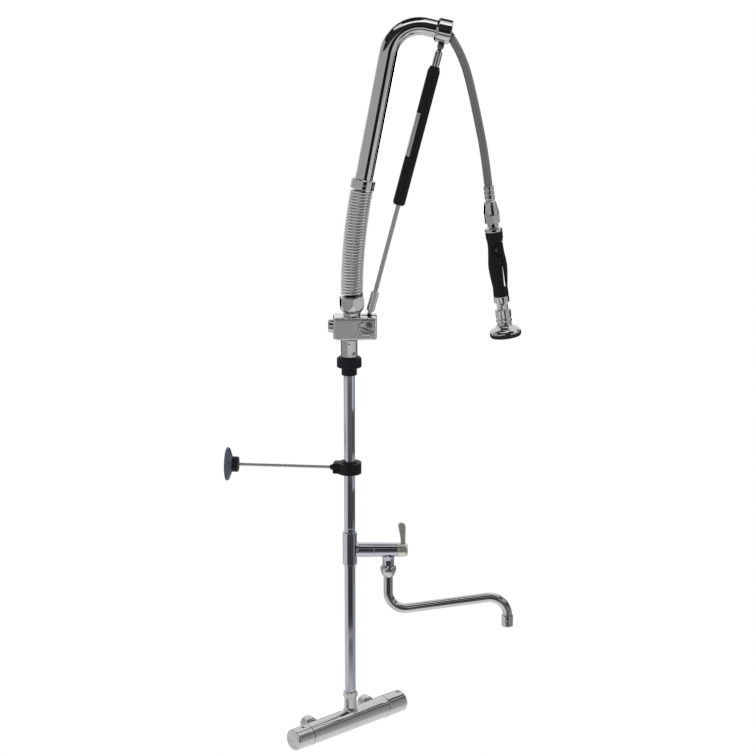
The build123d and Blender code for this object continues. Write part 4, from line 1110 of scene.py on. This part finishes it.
class FAUCET_OT_coil(bpy.types.Operator):
    """Build the hexagon nut, the bent coil and the hose inside it"""

    bl_idname = "faucet.coil"
    bl_label = "Coil"

    def execute(self, context):
        body = turned([
            (0, 814.0), (18.4, 814.0), (20.9, 817.4), (22.6, 821.6), (25.0, 827.5), (25.2, 839.4),
            (22.6, 841.0), (21.4, 841.4), (20.6, 843), (0, 843)], 0.4, 120)
        nut = hexed(body, COIL_NUT_ACROSS, 810, 850, COIL_NUT_TURN)
        neck = turned([(0, 806), (16.6, 806), (16.6, 812.0), (18.6, 814.6), (0, 814.6)])
        carve(nut, neck, "UNION")
        dressed(rounded(nut, 0.35, 2, 25), "coil_base_nut", "head", "chrome", "coil_nut", matrix=COIL_FOOT)
        arc_length = COIL_ARC * math.radians(COIL_BEND)
        wire = sizes().wire / MM
        turns = sizes().coil_turns
        pitch = (arc_length - 2 * wire) / turns
        clear_selection()
        bpy.ops.mesh.primitive_circle_add(vertices=WIRE_SIDES, radius=sizes().wire,
                                          rotation=(math.pi / 2, 0, 0), location=(COIL_RADIUS * MM, 0, 0),
                                          fill_type="NGON")
        coil = context.object
        bpy.ops.object.transform_apply()
        modifier(coil, "SCREW", axis="Z", screw_offset=pitch * MM, angle=2 * math.pi, iterations=turns,
                 steps=COIL_STEPS, render_steps=COIL_STEPS, use_merge_vertices=False)
        moved(coil, shift(up=wire))
        curl(coil, arc_length)
        pick(coil)
        edit()
        leave_edit()
        dressed(coil, "support_coil", None, "spring_steel", matrix=COIL_FOOT @ shift(up=COIL_LOW))
        tie_coil(coil, "coil_spring")
        heights = [arc_length * step / COIL_STEPS for step in range(COIL_STEPS + 1)]
        outer = [(HOSE_RADIUS, height) for height in heights]
        inner = [(HOSE_BORE, height) for height in reversed(heights)]
        hose = lathe([(HOSE_BORE, 0), *outer, *inner], HOSE_SIDES)
        curl(hose, arc_length)
        dressed(hose, "inner_hose", None, "rubber", matrix=COIL_FOOT @ shift(up=COIL_LOW))
        tie_coil(hose, "spring_hose")
        return {"FINISHED"}


def curl(piece, arc_length):
    """Bend a straight upright piece along the coil's arc."""
    heights = [vertex.co.z for vertex in piece.data.vertices]
    extent = max(heights) - min(heights)
    modifier(piece, "SIMPLE_DEFORM", deform_method="BEND", deform_axis="Y",
             angle=math.radians(COIL_BEND) * extent / (arc_length * MM))


def tie_coil(piece, node):
    """Leave the piece's place in its mesh and hide the CAD node that it stands in for."""
    high = pivot("arm_tilt") + ARM_Z * COIL_HALF * MM
    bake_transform(piece)
    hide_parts(node)


# ---------------------------------------------------------------- arm
TUBE_WALL = 1.8
TUBE_FOOT, MOUTH_DEPTH = 5.0, 4.0    # from the ferrule's foot to the tube, and from the tube to the mouth
LUG_FOOT, LUG_RADIUS, LUG_INNER, LUG_OUTER = 17.0, 5.6, 4.4, 8.0


class FAUCET_OT_arm(bpy.types.Operator):
    """Build the gooseneck tube, the ferrule at its foot and the collar with lugs at its mouth"""

    bl_idname = "faucet.arm"
    bl_label = "Arm"

    def execute(self, context):
        low = COIL_HALF
        ferrule = turned([
            (9.0, low + 0.3), (20.4, low + 0.3), (21.7, low + 1.6), (21.7, low + 8.8), (21.35, low + 9.1),
            (21.35, low + 9.7), (21.7, low + 10.0), (21.7, low + 17.4), (20.2, low + 19.0),
            (TUBE_RADIUS, low + 19.0), (TUBE_RADIUS, low + TUBE_FOOT), (9.0, low + TUBE_FOOT),
            (9.0, low + 0.3)])
        dressed(ferrule, "coil_end_ferrule", "arm", "chrome", "coil_ferrule", matrix=ARM)
        ring_start(TUBE_RADIUS, low + TUBE_FOOT, 80)
        draw_out(0, ARM_STRAIGHT - low - TUBE_FOOT)
        bend((BEND_RADIUS, ARM_STRAIGHT), BEND_TURN, 48)
        turn, run = math.radians(BEND_TURN), TUBE_END_RUN - MOUTH_DEPTH
        draw_out(run * math.sin(turn), run * math.cos(turn))
        tube = walled(leave_edit(), TUBE_WALL)
        dressed(tube, "gooseneck_tube", "arm", "chrome", "gooseneck", matrix=ARM)
        collar = moved(turned([
            (TUBE_RADIUS, -28), (17.4, -28), (20.4, -25.4), (21.9, -24.2), (21.9, -1.0), (21.0, 0),
            (18.8, 0), (15.0, -4), (TUBE_RADIUS, -4.2), (TUBE_RADIUS, -28)], 0.6), MOUTH)
        pin = MOUTH.inverted() @ pivot("strut_cylinder_turn") / MM
        under, over = pin.z - LUG_RADIUS, pin.z + LUG_RADIUS
        tip = half_round(pin.x, pin.z, LUG_RADIUS, 80, 10)
        lug_side = [
            (LUG_FOOT, under), (pin.x, under), *tip, (pin.x, over), (LUG_FOOT, over), (LUG_FOOT, under)]
        for near, far in ((-LUG_OUTER, -LUG_INNER), (LUG_INNER, LUG_OUTER)):
            lug = slab(lug_side, near, far)
            carve(collar, moved(rounded(lug, 0.5, 2, 50), MOUTH), "UNION")
        dressed(collar, "mouth_collar", "arm", "chrome", "arm_collar")
        pin_place = place(pivot("strut_cylinder_turn"), AWAY, REACH)
        rivet = turned([
            (0, -9.5), (3.6, -9.5), (4.0, -9.0), (4.0, -8.05), (2.5, -8.0), (2.5, 8.0), (4.0, 8.05),
            (4.0, 9.0), (3.6, 9.5), (0, 9.5)], 0.2, 40)
        dressed(rivet, "strut_top_pin", "arm", "steel", "strut_pin", matrix=pin_place)
        return {"FINISHED"}


# ---------------------------------------------------------------- gas strut
PISTON_RADIUS, NECK_RADIUS = 4.0, 3.9
CYLINDER_RADIUS, CYLINDER_END = 11.3, 493.0
LABEL_LOW, LABEL_HIGH = 325.0, 406.0
LABEL_START, LABEL_SPAN = 248.0, 74.0    # degrees round the cylinder


class FAUCET_OT_strut(bpy.types.Operator):
    """Build the gas strut: rod, lower fitting, black cylinder, upper fitting and a blank label"""

    bl_idname = "faucet.strut"
    bl_label = "Gas strut"

    def execute(self, context):
        length = STRUT_WAY.length / MM
        rod = turned([
            (0, 55), (PISTON_RADIUS, 55), (PISTON_RADIUS, 340), (8.2, 340), (8.2, 350),
            (PISTON_RADIUS, 350), (PISTON_RADIUS, 352), (0, 352)], 0.4, 48)
        dressed(rod, "strut_piston_rod", "strut_rod", "steel", "strut_rod", matrix=STRUT)
        fitting = turned([
            (0, 24.0), (NECK_RADIUS, 24.0), (NECK_RADIUS, 29.5), (6.4, 29.5), (7.5, 30.8), (7.5, 46.0),
            (7.1, 46.4), (7.1, 47.0), (7.5, 47.4), (7.5, 65.8), (6.3, 67.0), (4.05, 67.0), (4.05, 56.0),
            (0, 56.0)], 0.4, 64)
        neck = lathe(post(NECK_RADIUS, 4.5, 26.0), 40)
        eye = eye_shape(7.0, 3.05)
        dressed(rounded(fitting, 0.3, 2, 50), "strut_foot_fitting", "strut_rod", "satin_chrome",
                "strut_lower_eye", matrix=STRUT)
        dressed(carve(neck, eye, "UNION"), "strut_foot_eye", "strut_rod", "black_plastic", matrix=STRUT)
        shell = turned([
            (5.8, 234), (8.6, 234), (CYLINDER_RADIUS, 237.6), (CYLINDER_RADIUS, 484.5), (8.6, CYLINDER_END),
            (0, CYLINDER_END), (0, 487), (10.0, 487), (10.0, 246), (5.8, 246), (5.8, 234)], 0.8, 96, 4)
        dressed(shell, "strut_gas_cylinder", "strut_cylinder", "black_paint", "strut_cylinder",
                matrix=STRUT)
        cap = turned([
            (0, CYLINDER_END), (6.8, CYLINDER_END), (6.8, length - 10.5), (5.6, length - 8),
            (0, length - 8)], 0.5, 48)
        stem = lathe(post(NECK_RADIUS, length - 10, length - 2), 40)
        carve(stem, moved(eye_shape(5.4, 2.55), shift(up=length)), "UNION")
        dressed(rounded(cap, 0.3, 2, 50), "strut_top_fitting", "strut_cylinder", "chrome",
                "strut_upper_eye", matrix=STRUT)
        dressed(stem, "strut_top_eye", "strut_cylinder", "black_plastic", matrix=STRUT)
        over = CYLINDER_RADIUS + 0.06
        label = walled(lathe([(over, LABEL_LOW), (over, LABEL_HIGH)], 16, LABEL_SPAN), 0.05)
        moved(label, Matrix.Rotation(math.radians(LABEL_START), 4, "Z"))
        dressed(label, "strut_blank_label", "strut_cylinder", "blank_label", matrix=STRUT)
        return {"FINISHED"}


def eye_shape(radius, bore):
    """The eye of a fitting: a short ring across the strut."""
    ring = turned([
        (bore, -4.0), (radius - 0.5, -4.0), (radius, -3.5), (radius, 3.5), (radius - 0.5, 4.0), (bore, 4.0),
        (bore, -4.0)], 0.2, 48)
    return moved(ring, Matrix.Rotation(math.pi / 2, 4, "X"))


# ---------------------------------------------------------------- free hose
# The hose's route in the arm's plane: right of the riser axis, and height, in metres.
HOSE_ROUTE = [
    (0.1812, 1.3212), (0.1925, 1.3035), (0.2010, 1.2880), (0.2130, 1.2600), (0.2248, 1.2150),
    (0.2375, 1.1580), (0.2488, 1.1027), (0.2559, 1.0477)]
BLEND_BEFORE, BLEND_AFTER = 0.008, 0.012    # how far before and after the mouth's ball, along the hose's way out, in metres


class FAUCET_OT_hose(bpy.types.Operator):
    """Build the braided hose from the arm's mouth to the spray"""

    bl_idname = "faucet.hose"
    bl_label = "Hose"

    def execute(self, context):
        points = [CENTRE + REACH * right + UP * up for right, up in HOSE_ROUTE]
        line = bpy.data.curves.new("hose_line", "CURVE")
        line.dimensions = "3D"
        spline = line.splines.new("NURBS")
        spline.points.add(len(points) - 1)
        for knot, point in zip(spline.points, points):
            knot.co = (*point, 1.0)
        spline.order_u = 3
        spline.use_endpoint_u = True
        spline.resolution_u = 12
        guide = bpy.data.objects.new("hose_line", line)
        context.collection.objects.link(guide)
        context.view_layer.update()
        drawn = bpy.data.meshes.new_from_object(guide)
        path = [vertex.co.copy() for vertex in drawn.vertices]
        bpy.data.objects.remove(guide)
        bpy.data.meshes.remove(drawn)
        hose = tube_along(path, HOSE_RADIUS * MM)
        dressed(hose, "braided_hose", None, "hose")
        ball = pivot("hose_swing")
        exit_way = (ball - points[0]).normalized()
        ball - exit_way * BLEND_BEFORE
        ball + exit_way * BLEND_AFTER
        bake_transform(hose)
        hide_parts("spray_hose")
        length = sum((b - a).length for a, b in zip(path, path[1:]))
        tuple(points[0])
        [tuple(point) for point in path]
        return {"FINISHED"}


def tube_along(path, radius):
    """A skin round a line in the arm's plane, with a UV map: x round it, y the distance along it."""
    last = len(path) - 1
    turns = [2 * math.pi * step / HOSE_SIDES for step in range(HOSE_SIDES)]
    points, along = [], [0.0]
    for before, after in zip(path, path[1:]):
        along.append(along[-1] + (after - before).length)
    for index, point in enumerate(path):
        way = (path[min(index + 1, last)] - path[max(index - 1, 0)]).normalized()
        side = way.cross(AWAY).normalized()
        points += [point + (side * math.cos(turn) + AWAY * math.sin(turn)) * radius for turn in turns]
    faces = []
    for low in range(0, last * HOSE_SIDES, HOSE_SIDES):
        for step in range(HOSE_SIDES):
            here, following = low + step, low + (step + 1) % HOSE_SIDES
            faces.append((here, following, following + HOSE_SIDES, here + HOSE_SIDES))
    faces.append(tuple(range(HOSE_SIDES)))
    faces.append(tuple(range(last * HOSE_SIDES, len(points))))
    mesh = bpy.data.meshes.new("hose_skin")
    mesh.from_pydata(points, [], faces)
    uv = mesh.uv_layers.new(name="along")
    for polygon in mesh.polygons:
        steps = [mesh.loops[loop].vertex_index % HOSE_SIDES for loop in polygon.loop_indices]
        for loop, step in zip(polygon.loop_indices, steps):
            wraps = step == 0 and HOSE_SIDES - 1 in steps
            ring = mesh.loops[loop].vertex_index // HOSE_SIDES
            uv.data[loop].uv = ((step + HOSE_SIDES * wraps) / HOSE_SIDES, along[ring])
    tube = bpy.data.objects.new("hose_skin", mesh)
    bpy.context.collection.objects.link(tube)
    pick(tube)
    edit()
    return leave_edit()


# The hose inside the mouth: where it starts, the radius of its curve and its last straight run.
MOUTH_START, MOUTH_CURVE, MOUTH_RUN = -60.0, 15.0, 6.0


class FAUCET_OT_mouth_hose(bpy.types.Operator):
    """Build the short run of hose inside the arm's mouth"""

    bl_idname = "faucet.mouth_hose"
    bl_label = "Hose in the mouth"

    def execute(self, context):
        degrees = 180 - HOSE_LEAN - BEND_TURN - COIL_BEND
        turn = math.radians(degrees)
        curve_end = -MOUTH_RUN / math.tan(turn) - MOUTH_CURVE * math.tan(turn / 2)
        ring_start(HOSE_RADIUS - 0.05, MOUTH_START, HOSE_SIDES)
        draw_out(0, curve_end - MOUTH_START)
        bend((MOUTH_CURVE, curve_end), degrees, 10)
        draw_out(MOUTH_RUN * math.sin(turn), MOUTH_RUN * math.cos(turn))
        hose = walled(leave_edit(), 2.8)
        dressed(hose, "mouth_hose", "arm", "rubber", "arm_hose", matrix=MOUTH)
        return {"FINISHED"}


# ---------------------------------------------------------------- spray
NOZZLE_RINGS = ((6.0, 6), (12.0, 12))    # radius and number of holes, without the outer ring
OUTER_RING = 18.5
NOZZLE_HOLE = 1.8


class FAUCET_OT_spray(bpy.types.Operator):
    """Build the hose's crimp and cone, the nut, the valve body, the bell and its bumper"""

    bl_idname = "faucet.spray"
    bl_label = "Spray"

    def execute(self, context):
        edge = sizes().edge
        crimp = turned([
            (HOSE_RADIUS - 0.2, 0.2), (8.5, 0.2), (9.2, 1.4), (9.2, 8.0), (8.8, 8.6), (8.8, 9.6),
            (9.2, 10.2), (9.2, 16.0), (8.8, 16.6), (8.8, 17.6), (9.2, 18.2), (9.2, 24.4), (8.5, 25.6),
            (8.5, 28.0), (10.4, 29.8), (13.6, 46.0), (14.0, 50.0), (14.0, 53.8), (13.4, 54.3), (4.5, 54.3),
            (4.5, 6.0), (HOSE_RADIUS - 0.2, 6.0), (HOSE_RADIUS - 0.2, 0.2)], 0.5, 80)
        dressed(crimp, "hose_end_fitting", "hose", "chrome", "hose_ferrule", matrix=SPRAY)
        body = turned([
            (0, SPRAY_NUT_LOW), (13.8, SPRAY_NUT_LOW), (15.7, 56.0), (15.7, 68.2), (13.8, 69.6), (0, 69.6)],
            0.2)
        nut = rounded(hexed(body, SPRAY_NUT_ACROSS, 50, 75), 0.35, 2, 25)
        dressed(nut, "spray_free_nut", "spray", "chrome", "spray_nut", matrix=SPRAY)
        valve = turned([
            (0, 69.6), (9.6, 69.6), (10.0, 71.0), (10.0, 76.0), (12.4, 78.0), (15.5, 79.9), (15.8, 81.0),
            (15.8, 84.6), (15.2, 86.0), (5.4, 86.0), (5.4, 207.6), (14.2, 207.6), (14.2, 218.5),
            (11.8, 221.4), (10.2, 224.0), (9.9, 232.5), (0, 232.5)], edge)
        dressed(valve, "spray_valve", "spray", "chrome", "valve_body", matrix=SPRAY)
        neck = eased([
            (0, 232.5), (13.2, 232.5), (14.3, 233.6), (14.3, 248.0), (13.3, 249.0), (13.3, 250.2),
            (14.4, 251.0), (14.4, 256.0), (13.0, 257.2)], 0.4)
        bell_side = flowing([
            (13.0, 257.4), (13.3, 261.2), (15.2, 264.4), (19.0, 266.7), (23.4, 268.9), (27.0, 271.9),
            (28.9, 275.2)], 4)
        head = lathe([*neck, *bell_side, (29.0, 277.0), (24.5, 277.0), (24.5, 274.6), (0, 274.6)], 96)
        dressed(head, "spray_bell", "spray", "chrome", "spray_head", matrix=SPRAY)
        bumper = turned([
            (24.5, 277.0), (28.6, 277.0), (29.5, 278.8), (28.9, 282.6), (26.6, 285.0), (24.8, 284.0),
            (24.2, 281.0), (24.5, 277.0)], 1.2, 96, 5)
        dressed(bumper, "bell_bumper", "spray", "rubber", "spray_bumper", matrix=SPRAY)
        plate = turned([(0, 274.8), (24.3, 274.8), (24.3, 276.2), (23.2, 277.0), (0, 277.0)], 0.3)
        holes = []
        for ring, count in (*NOZZLE_RINGS, (OUTER_RING, sizes().nozzles)):
            for step in range(count):
                turn = 2 * math.pi * step / count
                spot = shift(ring * math.cos(turn), ring * math.sin(turn))
                holes.append(moved(prism(16, NOZZLE_HOLE, 276.0, 279.0), spot))
        carve(plate, joined(*holes))
        dressed(plate, "spray_plate", "spray", "chrome", "nozzle_plate", matrix=SPRAY)
        return {"FINISHED"}


GRIP_LOW, GRIP_HIGH, GRIP_BORE = 86.0, 207.5, 11.1
LEVER_PIN = 118.5
RECESS_HALF = 13.5
EAR_INNER, EAR_OUTER = 11.6, 14.4
EAR_RADIUS, EAR_ROOM = 6.0, 9.0


def grip_solid():
    """The whole grip with its lever closed, as one turned form."""
    flow = flowing([
        (15.9, 92.0), (15.9, 97.0), (15.0, 101.0), (14.4, 106.0), (14.3, 112.0), (14.6, 120.0),
        (15.7, 131.0), (16.9, 141.0), (17.5, 150.0), (17.1, 160.0), (16.0, 172.0), (14.6, 184.0),
        (13.7, 191.0)], 3)
    return lathe([
        (0, GRIP_LOW), (15.2, GRIP_LOW), (15.9, 86.5), (16.2, 87.6), *flow, (13.6, 192.2), (14.0, 192.8),
        (14.1, 198.0), (14.2, 206.7), (13.6, GRIP_HIGH), (0, GRIP_HIGH)], 120)


class FAUCET_OT_spray_grip(bpy.types.Operator):
    """Build the black grip, its squeeze lever and the lever's pin"""

    bl_idname = "faucet.spray_grip"
    bl_label = "Spray grip"

    def execute(self, context):
        grip = grip_solid()
        carve(grip, slab([
            (-8.4, 104.0), (-6.9, 191.6), (-30, 191.6), (-30, 104.0), (-8.4, 104.0)], -30, 30))
        for near, far in ((-30, -EAR_INNER + 0.3), (EAR_INNER - 0.3, 30)):
            recess = slab([
                *half_round(0, LEVER_PIN, EAR_ROOM), (-0.2, LEVER_PIN + RECESS_HALF),
                (-18, LEVER_PIN + RECESS_HALF), (-18, LEVER_PIN - RECESS_HALF),
                (-0.2, LEVER_PIN - RECESS_HALF), (0, LEVER_PIN - EAR_ROOM)], near, far)
            carve(grip, recess)
        carve(grip, prism(48, GRIP_BORE, 80, 210))
        dressed(rounded(grip, 0.5, 3, 40), "grip_body", "spray", "black_grip", "spray_grip", matrix=SPRAY)
        lever = grip_solid()
        face = slab([(-8.8, 107.0), (-10.3, 190.0), (-30, 190.0), (-30, 107.0), (-8.8, 107.0)], -30, 30)
        carve(lever, face, "INTERSECT")
        for near, far in ((-EAR_OUTER, -EAR_INNER), (EAR_INNER, EAR_OUTER)):
            ear = slab([*half_round(0, LEVER_PIN, EAR_RADIUS), (-11.0, 131.0), (-11.0, 109.0),
                        (0, LEVER_PIN - EAR_RADIUS)], near, far)
            carve(lever, ear, "UNION")
        dressed(rounded(lever, 0.45, 3, 40), "squeeze_lever", "spray_lever", "black_grip", "spray_lever",
                matrix=SPRAY)
        pins = []
        for near, far in ((-14.7, -5.9), (5.9, 14.7)):
            pin = turned(post(1.5, near, far), 0.3, 24)
            pins.append(moved(pin, shift(up=LEVER_PIN) @ Matrix.Rotation(math.pi / 2, 4, "X")))
        dressed(joined(*pins), "lever_pin_ends", "spray", "steel", "lever_pins", matrix=SPRAY)
        return {"FINISHED"}


# ---------------------------------------------------------------- carried over nodes
CARRIED = {
    "inner_plastic": ("inlet_filters", "check_valves", "aerator_insert"),
    "brass": ("thermostat_cartridge", "flow_cartridge", "tap_headpart"),
    "rubber": ("spout_seals", "swivel_seals"),
    "steel": ("clamp_screw", "wall_plate", "valve_plunger"),
}


class FAUCET_OT_carried_nodes(bpy.types.Operator):
    """Give the small CAD pieces that stay as they are their finishes"""

    bl_idname = "faucet.carried_nodes"
    bl_label = "Inner pieces"

    def execute(self, context):
        for finish, names in CARRIED.items():
            for name in names:
                for slot in frame["nodes"][name].material_slots:
                    slot.material = FINISHES[finish]
        return {"FINISHED"}


class FAUCET_PT_panel(bpy.types.Panel):
    """The faucet's pieces, in the order in which they are built"""

    bl_idname = "FAUCET_PT_panel"
    bl_label = "Pre rinse faucet"
    bl_space_type = "VIEW_3D"
    bl_region_type = "UI"
    bl_category = "Faucet"

    def draw(self, context):
        for group in (context.scene.faucet_sizes, context.scene.faucet_colours):
            for name in group.bl_rna.properties.keys():
                if name not in ("rna_type", "name"):
                    self.layout.prop(group, name)
        for step in STEPS:
            self.layout.operator(step.bl_idname)


STEPS = (
    FAUCET_OT_stage, FAUCET_OT_mixer_bar, FAUCET_OT_knobs, FAUCET_OT_riser, FAUCET_OT_filling_tap,
    FAUCET_OT_tap_lever, FAUCET_OT_spout, FAUCET_OT_wall_stay, FAUCET_OT_swivel, FAUCET_OT_block,
    FAUCET_OT_coil, FAUCET_OT_arm, FAUCET_OT_strut, FAUCET_OT_spray, FAUCET_OT_spray_grip,
    FAUCET_OT_hose, FAUCET_OT_mouth_hose, FAUCET_OT_carried_nodes)
CLASSES = (FaucetSizes, FaucetColours, *STEPS, FAUCET_PT_panel)


def register():
    for kind in CLASSES:
        bpy.utils.register_class(kind)
    bpy.types.Scene.faucet_sizes = bpy.props.PointerProperty(type=FaucetSizes)
    bpy.types.Scene.faucet_colours = bpy.props.PointerProperty(type=FaucetColours)


def unregister():
    del bpy.types.Scene.faucet_sizes
    del bpy.types.Scene.faucet_colours
    for kind in reversed(CLASSES):
        bpy.utils.unregister_class(kind)


def main():
    """Build everything in order."""
    register()
    FINISHES.update(make_finishes(bpy.context.scene.faucet_colours))
    for step in STEPS:
        group, name = step.bl_idname.split(".")
        getattr(getattr(bpy.ops, group), name)()


if __name__ == "__main__":
    main()
